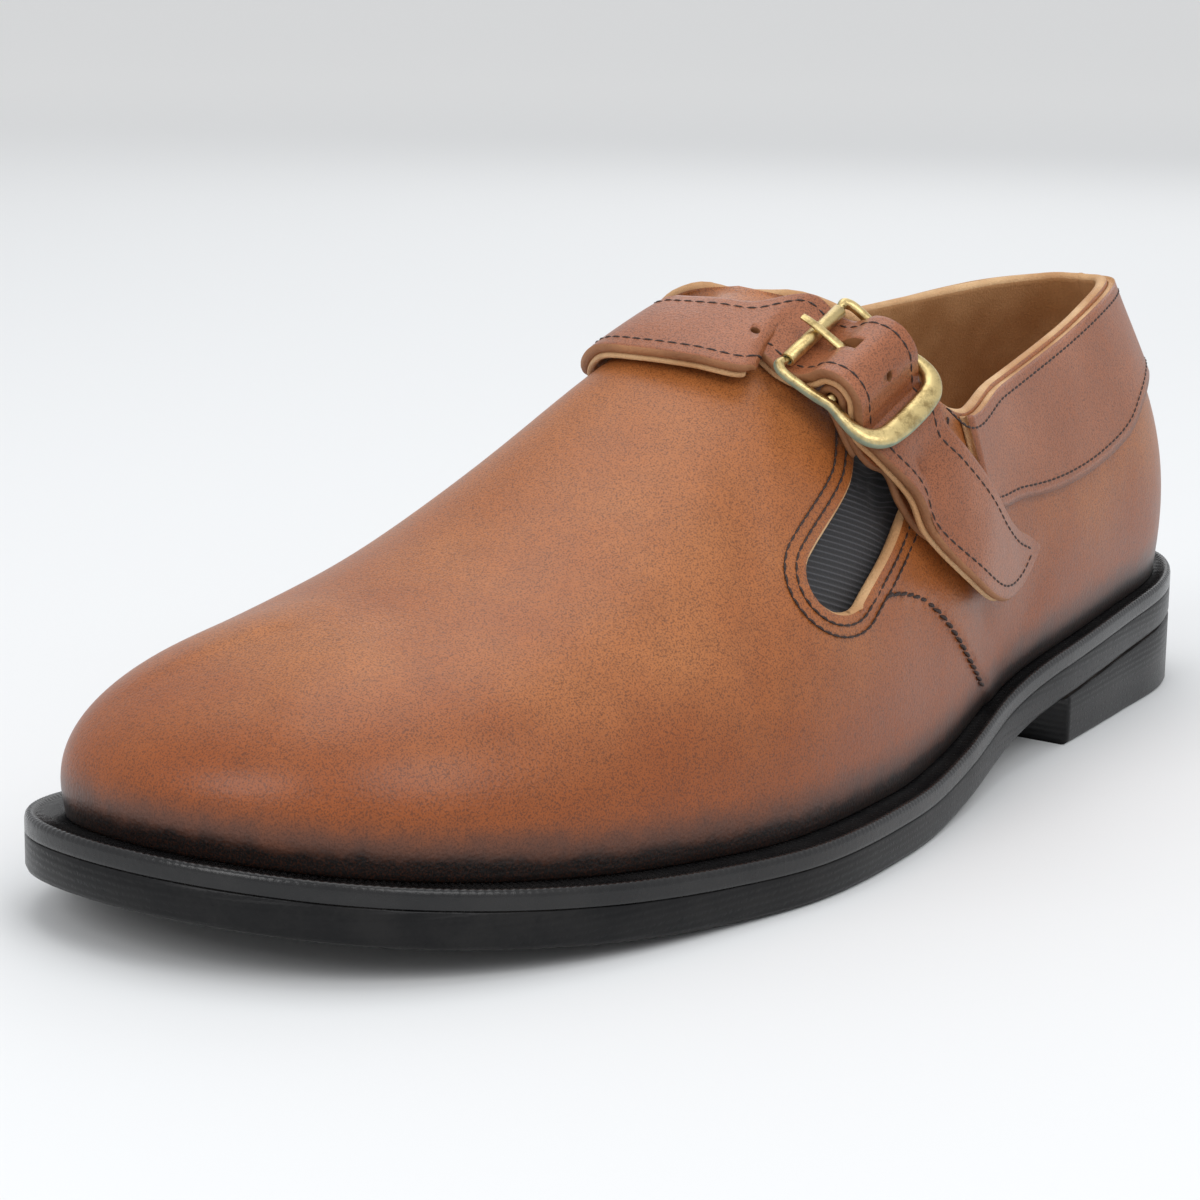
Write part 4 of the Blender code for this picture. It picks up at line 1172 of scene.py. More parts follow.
@dataclass
class Bottom:
    """Outsole, welt and heel: one black edge under the upper."""

    stations: int = 220
    rib_pitch: float = 0.00135
    rib_samples: int = 6
    rib_height: float = 0.00030
    bead: float = 0.0010

    def ring(self, inset: float, lift: float) -> list[np.ndarray]:
        """The sole's outline at an inset and a height over the underside, evenly turned."""
        turns = [math.pi * k / self.stations for k in range(self.stations + 1)]
        places = [(turn, LATERAL) for turn in turns] + [(turn, MEDIAL) for turn in turns[-2:0:-1]]
        ring = []
        for turn, side in places:
            edge, out = Last.edge(0.5 * (1.0 - math.cos(turn)), side)
            x, y = edge - out * inset
            ring.append(np.array([x, y, Last.bottom(x) + lift]))
        return ring

    def rim_faces(self, count: int, levels: int) -> list[list[int]]:
        """Quads between closed rings, stacked upward and turned outward."""
        return [
            [low + j, low + i, high + i, high + j]
            for level in range(levels - 1)
            for low, high in [(level * count, (level + 1) * count)]
            for i in range(count)
            for j in [(i + 1) % count]
        ]

    def cap(self, count: int, first: int, up: bool) -> list[list[int]]:
        """Faces across a ring of paired lateral and medial points."""
        faces = []
        for k in range(self.stations):
            c, d = (count - k - 1) % count, (count - k) % count
            loop = [k, k + 1] + ([] if k + 1 == self.stations else [c]) + ([] if k == 0 else [d])
            faces.append([first + i for i in (loop[::-1] if up else loop)])
        return faces

    def outsole(self, palette: Palette) -> None:
        """The outsole: its edge is slightly domed, with eased corners."""
        profile = (
            (0.0022, 0.00005),
            (0.0009, 0.0),
            (0.0003, 0.0003),
            (0.0000, 0.0010),
            (0.0000, 0.0030),
            (0.0000, OUTSOLE_THICKNESS),
            (0.0002, OUTSOLE_THICKNESS + GAP * 0.9),
        )
        rings = [self.ring(inset, lift) for inset, lift in profile]
        count = len(rings[0])
        made = Solid()
        made.add([p for ring in rings for p in ring], self.rim_faces(count, len(rings)))
        made.faces += self.cap(count, 0, False) + self.cap(count, (len(rings) - 1) * count, True)
        made.layers += [1] * (2 * self.stations)
        piece = made.build("outsole_dressed", [palette.edge, palette.under])
        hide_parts("outsole")

    def welt(self, palette: Palette) -> None:
        """The welt: a raised bead at its edge, and ribs across it all round."""
        turns = np.linspace(0.0, 2 * math.pi, 2400, endpoint=False)
        edges, outs = [], []
        for turn in turns:
            side = LATERAL if turn <= math.pi else MEDIAL
            along = 0.5 * (1.0 - math.cos(turn))
            edge, out = Last.edge(along, side)
            edges.append([*edge, Last.welt_reach(along)])
            outs.append(out)
        table = np.concatenate([np.array(edges), np.array(outs)], axis=1)
        table = np.concatenate([table, table[:1]])
        run = np.concatenate([[0.0], np.cumsum(np.linalg.norm(np.diff(table[:, :2], axis=0), axis=1))])
        ribs = round(run[-1] / self.rib_pitch)
        steps = np.arange(ribs * self.rib_samples)
        places = steps / len(steps) * run[-1]
        even = np.stack([np.interp(places, run, table[:, i]) for i in range(5)], axis=1)
        low = OUTSOLE_THICKNESS + GAP
        high = low + WELT_THICKNESS
        wave = 0.5 + 0.5 * np.cos(2 * math.pi * steps / self.rib_samples)
        profile = [(0.0002, low, 0.0), (0.0, low + 0.0002, 0.0), (0.0, low + 0.0008, 0.0)]
        profile += [(0.0, high - 0.0008, 0.0), (0.00015, high - 0.0001, 0.1)]
        profile += [(0.0005, high + self.bead * 0.35, 0.25), (0.0010, high + self.bead / 2, 0.35)]
        profile += [(0.0015, high + self.bead * 0.30, 0.5), (0.0020, high - 0.0001, 1.0)]
        levels = []
        for inset, lift, share in profile:
            levels.append((np.full(len(even), inset), lift + self.rib_height * share * (wave - 0.5)))
        for share in (0.35, 0.7, 1.0):
            inset = 0.0020 + (even[:, 2] + UPPER_WALL - 0.0020) * share
            levels.append((inset, high - 0.0001 + self.rib_height * (wave - 0.5)))
        levels.append((levels[-1][0], np.full(len(even), low)))
        points = []
        for inset, lift in levels:
            plan = even[:, :2] - even[:, 3:5] * inset[:, None]
            heights = np.array([Last.bottom(x) for x in plan[:, 0]]) + lift
            points.append(np.column_stack([plan, heights]))
        count = len(even)
        made = Solid()
        faces = self.rim_faces(count, len(levels))
        last = (len(levels) - 1) * count
        faces += [[last + (i + 1) % count, last + i, i, (i + 1) % count] for i in range(count)]
        made.add(np.concatenate(points), faces)
        piece = made.build("welt_ribbed", [palette.ribs])
        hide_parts("welt")

    def heel(self, palette: Palette) -> None:
        """The heel block, with eased edges and a straight breast."""
        breast = HEEL_LENGTH / SOLE_LENGTH
        end = turn_of(breast)
        turns = [end * k / 60 for k in range(61)]
        places = [(turn, LATERAL) for turn in turns] + [(turn, MEDIAL) for turn in turns[:0:-1]]
        profile = ((0.0008, 0.0), (0.0002, 0.0002), (0.0, 0.0006), (0.0, None), (0.0006, None))
        made = Solid()
        rings = []
        for level, (inset, lift) in enumerate(profile):
            ring = []
            for turn, side in places:
                edge, out = Last.edge(0.5 * (1.0 - math.cos(turn)), side)
                x, y = edge - out * inset
                top = Last.bottom(x) - GAP - (0.0005 if level == 3 else 0.0)
                ring.append(np.array([x, y, top if lift is None else lift]))
            rings.append(ring)
        count = len(rings[0])
        made.add([p for ring in rings for p in ring], self.rim_faces(count, len(rings)))
        for first, up in ((0, False), ((len(rings) - 1) * count, True)):
            for k in range(60):
                loop = [k, k + 1, count - k - 1] + ([] if k == 0 else [count - k])
                made.faces.append([first + i for i in (loop[::-1] if up else loop)])
                made.layers.append(1)
        piece = made.build("heel_dressed", [palette.edge, palette.under])
        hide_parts("heel")

    def make(self, palette: Palette) -> None:
        """Build the three pieces and dress the insole's own solid."""
        self.outsole(palette)
        self.welt(palette)
        self.heel(palette)
        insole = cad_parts["insole"]
        insole.data.materials.clear()
        insole.data.materials.append(palette.lining)


@dataclass
class Window:
    """A gore's window: its outline, square to one side of the shoe."""

    side: int
    ahead: np.ndarray = field(init=False)
    out: np.ndarray = field(init=False)
    up: np.ndarray = field(init=False)
    line: np.ndarray = field(init=False)

    def __post_init__(self) -> None:
        """Work out the plane and the middle line in it."""
        self.ahead = np.array([1.0, 0.0, 0.0])
        sign = 1.0 if self.side == LATERAL else -1.0
        self.out = np.array([0.0, math.cos(SIDE_TILT) * sign, math.sin(SIDE_TILT)])
        up = np.cross(self.out, self.ahead)
        self.up = up * sign
        places = smooth_rows(GORE_LINE, GORE_SAMPLES)
        flat = np.array([self.flat(Last.point(along, self.side, rise)) for along, rise in places])
        ends = flat[-1] + (flat[-1] - flat[-3]) * GORE_RUN_OUT
        self.line = np.concatenate([flat, [ends]])

    def flat(self, point: np.ndarray) -> np.ndarray:
        """A point's place in the window's plane."""
        return np.array([point @ self.ahead * WINDOW_SQUEEZE, point @ self.up])

    def ways(self) -> np.ndarray:
        """The direction of the middle line at each of its points."""
        ways = np.gradient(self.line, axis=0)
        return ways / np.linalg.norm(ways, axis=1)[:, None]

    def outline(self, more: float = 0.0, ends: int = 13) -> np.ndarray:
        """The window's outline, open at the topline, wider all round by a distance."""
        ways = self.ways()
        half = GORE_WINDOW / 2
        across = np.array([ways[0][1], -ways[0][0]])
        middle = self.line[0] + ways[0] * half
        round_end = []
        for k in range(ends):
            angle = math.pi * (k / (ends - 1) - 0.5)
            turned = ways[0] * -math.cos(angle) + across * math.sin(angle)
            round_end.append(middle + (half + more) * turned)
        dense = smooth_rows(self.line, 6)
        slopes = np.gradient(dense, axis=0)
        slopes /= np.linalg.norm(slopes, axis=1)[:, None]
        sides = np.column_stack([slopes[:, 1], -slopes[:, 0]])
        past = [i for i in range(len(dense)) if (dense[i] - self.line[0]) @ ways[0] > half * 1.15]
        lower = [dense[i] - (half + more) * sides[i] for i in reversed(past)]
        upper = [dense[i] + (half + more) * sides[i] for i in past]
        return np.array(lower + round_end + upper)

    def inside(self, points: np.ndarray) -> np.ndarray:
        """Which points of this side lie in the window."""
        x, y = points @ self.ahead * WINDOW_SQUEEZE, points @ self.up
        loop = self.outline()
        hit = np.zeros(len(points), bool)
        for (ax, ay), (bx, by) in zip(loop, np.roll(loop, -1, axis=0)):
            crosses = (ay > y) != (by > y)
            hit ^= crosses & (x < (bx - ax) * (y - ay) / (by - ay + 1e-15) + ax)
        return hit

    def settle(self, spot: np.ndarray, place: Place) -> Place:
        """The place on the last over a point of the window's plane, from a place close by."""
        for _ in range(4):
            here = Last.point(*place)
            aim = self.ahead * spot[0] / WINDOW_SQUEEZE + self.up * spot[1]
            place = Last.seat(aim + self.out * (here @ self.out), place)
        return place

    def on_last(self, spots: np.ndarray, top: float = 0.97) -> list[Place]:
        """The places on the last over a line in the window's plane, up to a rise on both sides."""
        start = int(np.argmin(np.linalg.norm(spots - self.line[0], axis=1)))
        halves: list[list[Place]] = []
        for walk in (range(start, len(spots)), range(start - 1, -1, -1)):
            place: Place = (GORE_LINE[0][0], self.side, GORE_LINE[0][1])
            half: list[Place] = []
            for i in walk:
                place = self.settle(spots[i], place)
                if place[2] > top or place[1] != self.side:
                    break
                half.append(place)
            halves.append(half)
        return halves[1][::-1] + halves[0]


def relaxed(points: np.ndarray, faces: Sequence[Sequence[int]], rounds: int) -> np.ndarray:
    """Points moved toward the middle of their neighbours, rim points left where they are.

    Args:
        points: The surface's points.
        faces: Its quads.
        rounds: How often each point moves half way.

    Returns:
        The smoother points.
    """
    pairs = np.array([pair for face in faces for pair in zip(face, face[1:] + face[:1])])
    keys = pairs[:, 0].astype(np.int64) * len(points) + pairs[:, 1]
    back = pairs[:, 1].astype(np.int64) * len(points) + pairs[:, 0]
    free = np.ones(len(points), bool)
    free[pairs[~np.isin(keys, back)].ravel()] = False
    counts = np.bincount(pairs[:, 0], minlength=len(points))[:, None]
    for _ in range(rounds):
        total = np.zeros_like(points)
        np.add.at(total, pairs[:, 0], points[pairs[:, 1]])
        middle = total / np.maximum(counts, 1)
        points = np.where(free[:, None], (points + middle) / 2, points)
    return points


@dataclass
class Upper:
    """The upper: vamp with its tongue, quarters, the windows in them, and their lining."""

    stations: int = 240
    rises: int = 64
    windows: dict[int, Window] = field(default_factory=lambda: {s: Window(s) for s in (LATERAL, MEDIAL)})
    seam: tuple[tuple[float, float], ...] = (
        (0.600, 0.345),
        (0.534, 0.335),
        (0.490, 0.290),
        (0.458, 0.235),
        (0.425, 0.160),
        (0.400, 0.080),
        (0.386, 0.000),
    )
    overlap: float = 0.0007
    smoothing: int = 40
    creases: tuple[tuple[int, float, float, float, float, float, float], ...] = (
        (LATERAL, 0.640, 0.62, 0.700, 0.30, 0.0045, -0.0007),
        (LATERAL, 0.600, 0.72, 0.640, 0.45, 0.0040, 0.0004),
        (MEDIAL, 0.640, 0.62, 0.700, 0.30, 0.0045, -0.0006),
        (LATERAL, 0.300, 0.30, 0.360, 0.10, 0.0060, -0.0005),
        (LATERAL, 0.420, 0.42, 0.400, 0.20, 0.0050, -0.0005),
        (MEDIAL, 0.420, 0.42, 0.400, 0.20, 0.0050, -0.0005),
    )

    def along_of(self, station: float) -> float:
        """Share of the sole's length at a station: they crowd at heel, throat and toe."""
        share = station / self.stations
        crowd = STATION_CROWDING * math.sin(4 * math.pi * share) / 4
        return 0.5 * (1.0 - math.cos(math.pi * share - crowd))

    def relief(self, place: Place, point: np.ndarray) -> float:
        """How far the leather's face stands off the last at a place.

        Args:
            place: The place on the last.
            point: Its point in metres.

        Returns:
            The height: the quarter's overlap at its seam, less the depth of the creases.
        """
        along, side, rise = place
        height = 0.0
        seam_along = float(np.interp(rise, [row[1] for row in self.seam[::-1]], [row[0] for row in self.seam[::-1]]))
        if rise < self.seam[0][1]:
            step = (seam_along - along) * SOLE_LENGTH
            height += self.overlap * (0.5 + 0.5 * math.tanh(step / 0.0005)) * math.exp(-max(step, 0.0) / 0.012)
        for where, a0, r0, a1, r1, width, depth in self.creases:
            if where != side:
                continue
            start, end = Last.point(a0, side, r0), Last.point(a1, side, r1)
            way = end - start
            t = min(1.0, max(0.0, float((point - start) @ way / (way @ way))))
            off = float(np.linalg.norm(point - start - way * t))
            height += depth * math.exp(-((off / width) ** 2)) * (0.4 + 0.6 * math.sin(math.pi * t))
        return height

    def grid(self) -> tuple[np.ndarray, list[list[int]], list[Place]]:
        """The surface's points, its faces outside the windows, and each point's place."""
        points: list[np.ndarray] = []
        places: list[Place] = []
        index: dict[tuple[int, int, int], int] = {}
        throat = self.stations // 2

        def corner(station: int, side: int, step: int) -> int:
            """The index of a grid corner, which both sides share on the ridge and at the ends."""
            if station in (0, self.stations) or (step == self.rises and station >= throat):
                side = LATERAL
            key = (station, side, step)
            if key not in index:
                place = (self.along_of(station), side, step / self.rises)
                index[key] = len(points)
                points.append(Last.point(*place))
                places.append(place)
            return index[key]

        faces = []
        for side in (LATERAL, MEDIAL):
            for station in range(self.stations):
                for step in range(self.rises):
                    low = [corner(station, side, step), corner(station + 1, side, step)]
                    high = [corner(station + 1, side, step + 1), corner(station, side, step + 1)]
                    faces.append((low + high)[::-1] if side == LATERAL else low + high)
        return np.array(points), faces, places

    def open_windows(
        self, points: np.ndarray, faces: list[list[int]], places: list[Place]
    ) -> list[list[int]]:
        """Leave the windows' faces out and draw the nearest points onto their outlines.

        Args:
            points: The surface's points, moved in place.
            faces: Its faces.
            places: Its points' places, moved with them.

        Returns:
            The faces that stay.
        """
        kept = faces
        for side, window in self.windows.items():
            near = [i for i, place in enumerate(places) if place[1] == side and 0.4 < place[0] < 0.68]
            hits = window.inside(points[near])
            inside = {i for i, hit in zip(near, hits) if hit and places[i][2] > 0.25}
            kept = [face for face in kept if sum(i in inside for i in face) < 2]
            dropped = [face for face in faces if sum(i in inside for i in face) >= 2]
            used = {i for face in kept for i in face}
            moved = sorted({i for face in dropped for i in face if i in used and places[i][1] == side})
            outline = smooth_rows(window.outline(), 6)
            for i in moved:
                spot = window.flat(points[i])
                nearest = outline[int(np.argmin(np.linalg.norm(outline - spot, axis=1)))]
                rim = places[i][2] >= 1.0
                at = window.settle(nearest, places[i])
                if rim:
                    at = (at[0], side, 1.0)
                points[i] = Last.point(*at)
                places[i] = at
        return kept

    def make(self, palette: Palette) -> None:
        """Build the upper as one wall: leather outside, lining inside, a raw edge between."""
        points, faces, places = self.grid()
        faces = self.open_windows(points, faces, places)
        used = sorted({i for face in faces for i in face})
        place_of = {old: new for new, old in enumerate(used)}
        points = points[used]
        places = [places[i] for i in used]
        faces = [[place_of[i] for i in face] for face in faces]
        points = relaxed(points, faces, self.smoothing)
        normals = surface_normals(points, faces)
        foot = [i for i, place in enumerate(places) if place[2] == 0.0]
        for i in foot:
            normals[i][2] = 0.0
            normals[i] /= np.linalg.norm(normals[i])
            x = points[i][0]
            normals[i][2] = (Last.bottom(x) - Last.bottom(x - normals[i][0] * UPPER_WALL)) / UPPER_WALL
        maps = []
        face_heights = np.zeros(len(points))
        for i, (place, point) in enumerate(zip(places, points)):
            above = point[2] - Last.bottom(point[0]) - FEATHER_LIFT
            maps.append((float(above), float(point[2])))
            face_heights[i] = self.relief(place, point) if place[2] < 1.0 else 0.0
        made = Wall(0.0, -UPPER_WALL, 0.30).solid(points, faces, maps, normals)
        for i in range(len(points)):
            made.points[i] = made.points[i] + normals[i] * face_heights[i]
        for i, face in enumerate(made.faces):
            if made.layers[i] == Layer.RIM.value and all(made.maps[k][0] < 0.002 for k in face):
                made.layers[i] = Layer.OUTER.value
        piece = made.build("upper_leather_shell", [palette.upper, palette.raw, palette.lining])
        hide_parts("upper")


@dataclass
class Gore:
    """The elastic behind a window, with real ribs that run level, aslant to the window."""

    side: int
    name: str
    node: str
    across: int = 9
    fine: int = 10
    overlap: float = 0.0024
    rib_height: float = 0.00016
    rib_way: tuple[float, float, float] = (-1.0, 0.23, -0.325)

    def panel(self) -> np.ndarray:
        """A fine grid of points on the last behind the window, wider than it by the overlap."""
        window = Window(self.side)
        ways = window.ways()
        half = GORE_WINDOW / 2 + self.overlap
        line = window.line[:-1]
        foot = line[0] - ways[0] * self.overlap
        knots = np.concatenate([[foot], line])
        slopes = np.concatenate([[ways[0]], ways[:-1]])
        sides = np.column_stack([slopes[:, 1], -slopes[:, 0]])
        shares = np.linspace(-1.0, 1.0, self.across)
        rows = []
        for i, (knot, across) in enumerate(zip(knots, sides)):
            narrow = 0.72 if i == 0 else 1.0
            spots = [knot + across * half * narrow * share for share in shares]
            place: Place = (GORE_LINE[0][0], self.side, GORE_LINE[0][1])
            row = []
            for spot in spots[self.across // 2 :]:
                place = window.settle(spot, place if row else self.start(i))
                row.append(Last.point(*place))
            left = []
            for spot in reversed(spots[: self.across // 2]):
                place = window.settle(spot, place if left else self.start(i))
                left.append(Last.point(*place))
            rows.append(left[::-1] + row)
        dense = smooth_rows(np.array(rows), self.fine)
        turned = smooth_rows(dense.transpose(1, 0, 2), self.fine)
        return turned.transpose(1, 0, 2)

    def start(self, row: int) -> Place:
        """A place on the window's line to look from for a row of the panel."""
        places = smooth_rows(GORE_LINE, GORE_SAMPLES)
        along, rise = places[max(0, min(row - 1, len(places) - 1))]
        return float(along), self.side, float(rise)

    def make(self, palette: Palette) -> None:
        """Build the panel."""
        grid = self.panel()
        rows, columns = grid.shape[:2]
        points = grid.reshape(-1, 3)
        faces = grid_faces(rows, columns)
        normals = surface_normals(points, faces)
        if normals[:, 1].mean() * (1 if self.side == LATERAL else -1) < 0:
            faces = [face[::-1] for face in faces]
            normals = -normals
        sign = 1.0 if self.side == LATERAL else -1.0
        way = np.array([self.rib_way[0], self.rib_way[1] * sign, self.rib_way[2]])
        way /= np.linalg.norm(way)
        over = np.cross(way, normals.mean(axis=0))
        over /= np.linalg.norm(over)
        count = points @ over
        maps = list(zip((count % 1.0).tolist(), (points @ way % 1.0).tolist()))
        outer = -(UPPER_WALL + GORE_CLEAR) + 0.0002
        made = Wall(outer, outer - GORE_THICKNESS, 0.1).solid(points, faces, maps, normals)
        wave = self.rib_height * np.sin(2 * math.pi * (count % 1.0) / RIB_PITCH)
        for i in range(len(points)):
            made.points[i] = made.points[i] + normals[i] * wave[i]
        piece = made.build(self.name, [palette.elastic] * 3)
        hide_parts(self.node)


@dataclass
class Band:
    """The band of leather round the heel quarter, just below the topline."""

    stations: int = 120
    steps: int = 18

    def place(self, share: float) -> tuple[float, int]:
        """A place round the band, from its lateral front over the heel to its medial front."""
        if share <= 0.5:
            turn = turn_of(BAND_FRONT_LATERAL) * (1.0 - 2.0 * share)
            return 0.5 * (1.0 - math.cos(turn)), LATERAL
        turn = turn_of(BAND_FRONT_MEDIAL) * (2.0 * share - 1.0)
        return 0.5 * (1.0 - math.cos(turn)), MEDIAL

    def make(self, palette: Palette) -> None:
        """Build the band with its raw edges."""
        points, normals, maps = [], [], []
        for k in range(self.stations + 1):
            along, side = self.place(k / self.stations)
            low = smooth_table(BAND_EDGE, 1, along)
            for step in range(self.steps + 1):
                rise = low + (BAND_TOP - low) * step / self.steps
                point = Last.point(along, side, rise)
                points.append(point)
                normals.append(Last.normal(along, side, rise))
                maps.append((1.0, float(point[2])))
        faces = grid_faces(self.stations + 1, self.steps + 1)
        wall = Wall(GAP + BAND_THICKNESS, 0.0001, 0.30)
        made = wall.solid(np.array(points), faces, maps, np.array(normals))
        piece = made.build("collar_band_leather", [palette.strap, palette.raw, palette.lining])
        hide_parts("collar_band")


class Fitting:
    """The buckle's own directions: along the strap, across it and outward."""

    @staticmethod
    @lru_cache(maxsize=None)
    def axes() -> tuple[np.ndarray, np.ndarray, np.ndarray, np.ndarray]:
        """The centre bar's middle and the three directions."""
        roller = Last.above((ROLLER_PLACE[0], LATERAL, ROLLER_PLACE[1]), ROLLER_PLACE[2])
        end = Last.above((END_BAR_PLACE[0], LATERAL, END_BAR_PLACE[1]), END_BAR_PLACE[2])
        along = (end - roller) / np.linalg.norm(end - roller)
        level = np.cross(Last.normal(ROLLER_PLACE[0], LATERAL, ROLLER_PLACE[1]), along)
        level /= np.linalg.norm(level)
        across = level * math.cos(BUCKLE_TILT) + np.cross(along, level) * math.sin(BUCKLE_TILT)
        centre = roller + along * BUCKLE_LENGTH * CENTRE_BAR_PLACE
        return centre, along, across, np.cross(along, across)

    @staticmethod
    def point(a: float, b: float, c: float) -> np.ndarray:
        """World point of a place in the buckle."""
        centre, along, across, out = Fitting.axes()
        return centre + along * a + across * b + out * c

    @staticmethod
    def rows(places: Sequence[Sequence[float]], width: float, columns: Sequence[float]) -> np.ndarray:
        """Rows of points across a strip that is straight across the buckle."""
        return np.array([[Fitting.point(a, column * width / 2, c) for column in columns] for a, c in places])

    @staticmethod
    def block(low: tuple[float, float], high: tuple[float, float], half: float) -> Solid:
        """A box in the buckle between two corners along and out."""
        made = Solid()
        corners = [(a, b, c) for a in (low[0], high[0]) for b in (-half, half) for c in (low[1], high[1])]
        faces = [[0, 1, 3, 2], [4, 6, 7, 5], [0, 4, 5, 1], [2, 3, 7, 6], [0, 2, 6, 4], [1, 5, 7, 3]]
        made.add([Fitting.point(*corner) for corner in corners], faces)
        return made


@dataclass
class Straps:
    """The monk strap in its two layers, and the billet that holds the buckle."""

    columns: tuple[float, ...] = (-1.0, -0.93, -0.8, -0.55, -0.28, 0.0, 0.28, 0.55, 0.8, 0.93, 1.0)
    samples: int = 12
    face: float = 0.0018
    margin: float = 0.0024
    hole: float = 0.0009
    slot_end: float = -0.12
    rows: np.ndarray = field(init=False)

    def __post_init__(self) -> None:
        """Lay the strap's middle surface: over the instep, through the buckle, to the point."""
        thick = STRAP_THICKNESS
        under = ROLLER_RADIUS + GAP + thick / 2
        over = CENTRE_BAR_RADIUS + BILLET_THICKNESS + 2 * GAP + thick / 2
        weave = [(a * BUCKLE_LENGTH, c * (over if c > 0 else under)) for a, c in STRAP_WEAVE]
        instep = Last.strip(STRAP_OVER_INSTEP, STRAP_WIDTH, self.columns)
        tail = Last.strip(STRAP_TAIL, STRAP_WIDTH, self.columns)
        middle = Fitting.rows(weave, STRAP_WIDTH, self.columns)
        rows = smooth_rows(np.concatenate([instep, middle, tail]), self.samples)
        self.rows = rows[:, ::-1]

    def strap(self, palette: Palette) -> None:
        """The strap: a face of calf on a raw lining that shows as a pale edge."""
        half = STRAP_THICKNESS / 2
        top = ribbon(self.rows, half, half - self.face, 0.30)
        slot = Fitting.block(
            (STRAP_SLOT[0] * BUCKLE_LENGTH, CENTRE_BAR_RADIUS),
            (self.slot_end * BUCKLE_LENGTH, 0.012),
            PRONG_WIDTH / 2 + SLOT_CLEAR,
        )
        face = top.build("strap_face", [palette.strap, palette.cut_edge, palette.raw])
        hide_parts("strap")
        lining = ribbon(self.rows, half - self.face - 0.00003, -half, 0.45)
        under = lining.build("strap_lining", [palette.raw] * 3)
        for piece in (face, under):
            cut(piece, slot)
        self.punch(face)

    def punch(self, face: bpy.types.Object) -> None:
        """Punch the holes: one on the instep, one on the hump over the centre bar."""
        normals = self.normals()
        for share in (self.instep_hole(), self.hump_hole()):
            at, out = self.rows[share][len(self.columns) // 2], normals[share][len(self.columns) // 2]
            side = np.cross(out, self.rows[share + 1][5] - self.rows[share][5])
            side /= np.linalg.norm(side)
            way = np.cross(side, out)
            made = Solid()
            rings = []
            for depth in (-0.004, 0.004):
                rings += ellipse_ring(at + out * depth, side * self.hole, way * self.hole, 20)
            made.add(rings, tube_faces(2, 20))
            if signed_volume(made) < 0:
                made.faces = [face_[::-1] for face_ in made.faces]
            cut(face, made, Layer.RIM)

    def instep_hole(self) -> int:
        """The row of the hole over the instep, before the roller."""
        target = np.array([0.1303, 0.0215, 0.0862])
        return int(np.argmin(np.linalg.norm(self.rows[:, 5] - target, axis=1)))

    def hump_hole(self) -> int:
        """The row of the hole behind the prong's slot, on the hump."""
        target = Fitting.point(0.19 * BUCKLE_LENGTH, 0.0, 0.0035)
        return int(np.argmin(np.linalg.norm(self.rows[:, 5] - target, axis=1)))

    def normals(self) -> np.ndarray:
        """The outward directions of the strap's middle surface."""
        count = self.rows.shape[1]
        flat = self.rows.reshape(-1, 3)
        return surface_normals(flat, grid_faces(len(self.rows), count)).reshape(self.rows.shape)

    def billet(self, palette: Palette) -> None:
        """The billet: up from the quarter, round the centre bar and back."""
        half = BILLET_THICKNESS / 2
        radius = CENTRE_BAR_RADIUS + GAP + half
        wrap = [(a * radius, c * radius) for a, c in BILLET_WRAP]
        root = Last.strip(BILLET_ROOT, BILLET_WIDTH, self.columns)
        middle = Fitting.rows(wrap, BILLET_WIDTH, self.columns)[:, ::-1]
        rows = smooth_rows(np.concatenate([root, middle]), self.samples)
        made = ribbon(rows, half, -half, 0.35)
        piece = made.build("billet_leather", [palette.strap, palette.cut_edge, palette.strap])
        ring = CENTRE_BAR_RADIUS + GAP + PRONG_THICKNESS
        deep = 2 * (ring + BILLET_THICKNESS)
        cut(piece, Fitting.block((-deep, -deep), (ring + SLOT_CLEAR, deep), PRONG_WIDTH / 2 + SLOT_CLEAR))
        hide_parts("billet")

    def stitches(self, palette: Palette) -> None:
        """Two rows along the strap's edges that meet at its point."""
        seam = Seam(pitch=0.0024, length=0.0025, radius=0.00023)
        normals = self.normals()
        made = Solid()
        for sign in (-1.0, 1.0):
            line, outs = [], []
            for row, ways in zip(self.rows, normals):
                width = float(np.linalg.norm(row[-1] - row[0]))
                share = max(0.0, 1.0 - 2 * self.margin / width)
                places = np.array(self.columns)
                at = np.array([np.interp(sign * share, places, row[:, i]) for i in range(3)])
                out = np.array([np.interp(sign * share, places, ways[:, i]) for i in range(3)])
                out /= np.linalg.norm(out)
                line.append(at + out * (STRAP_THICKNESS / 2 - 0.00005))
                outs.append(out)
            skip = self.samples
            seam.sew(made, np.array(line[skip:-self.samples]), np.array(outs[skip:-self.samples]))
        piece = made.build("strap_stitches", [palette.thread])

    def make(self, palette: Palette) -> None:
        """Build the strap, its stitches and the billet."""
        self.strap(palette)
        self.stitches(palette)
        self.billet(palette)


def signed_volume(solid: Solid) -> float:
    """Six times the volume that a solid's faces enclose, negative where they turn inward."""
    total = 0.0
    for face in solid.faces:
        a = solid.points[face[0]]
        for i in range(1, len(face) - 1):
            total += float(a @ np.cross(solid.points[face[i]], solid.points[face[i + 1]]))
    return total


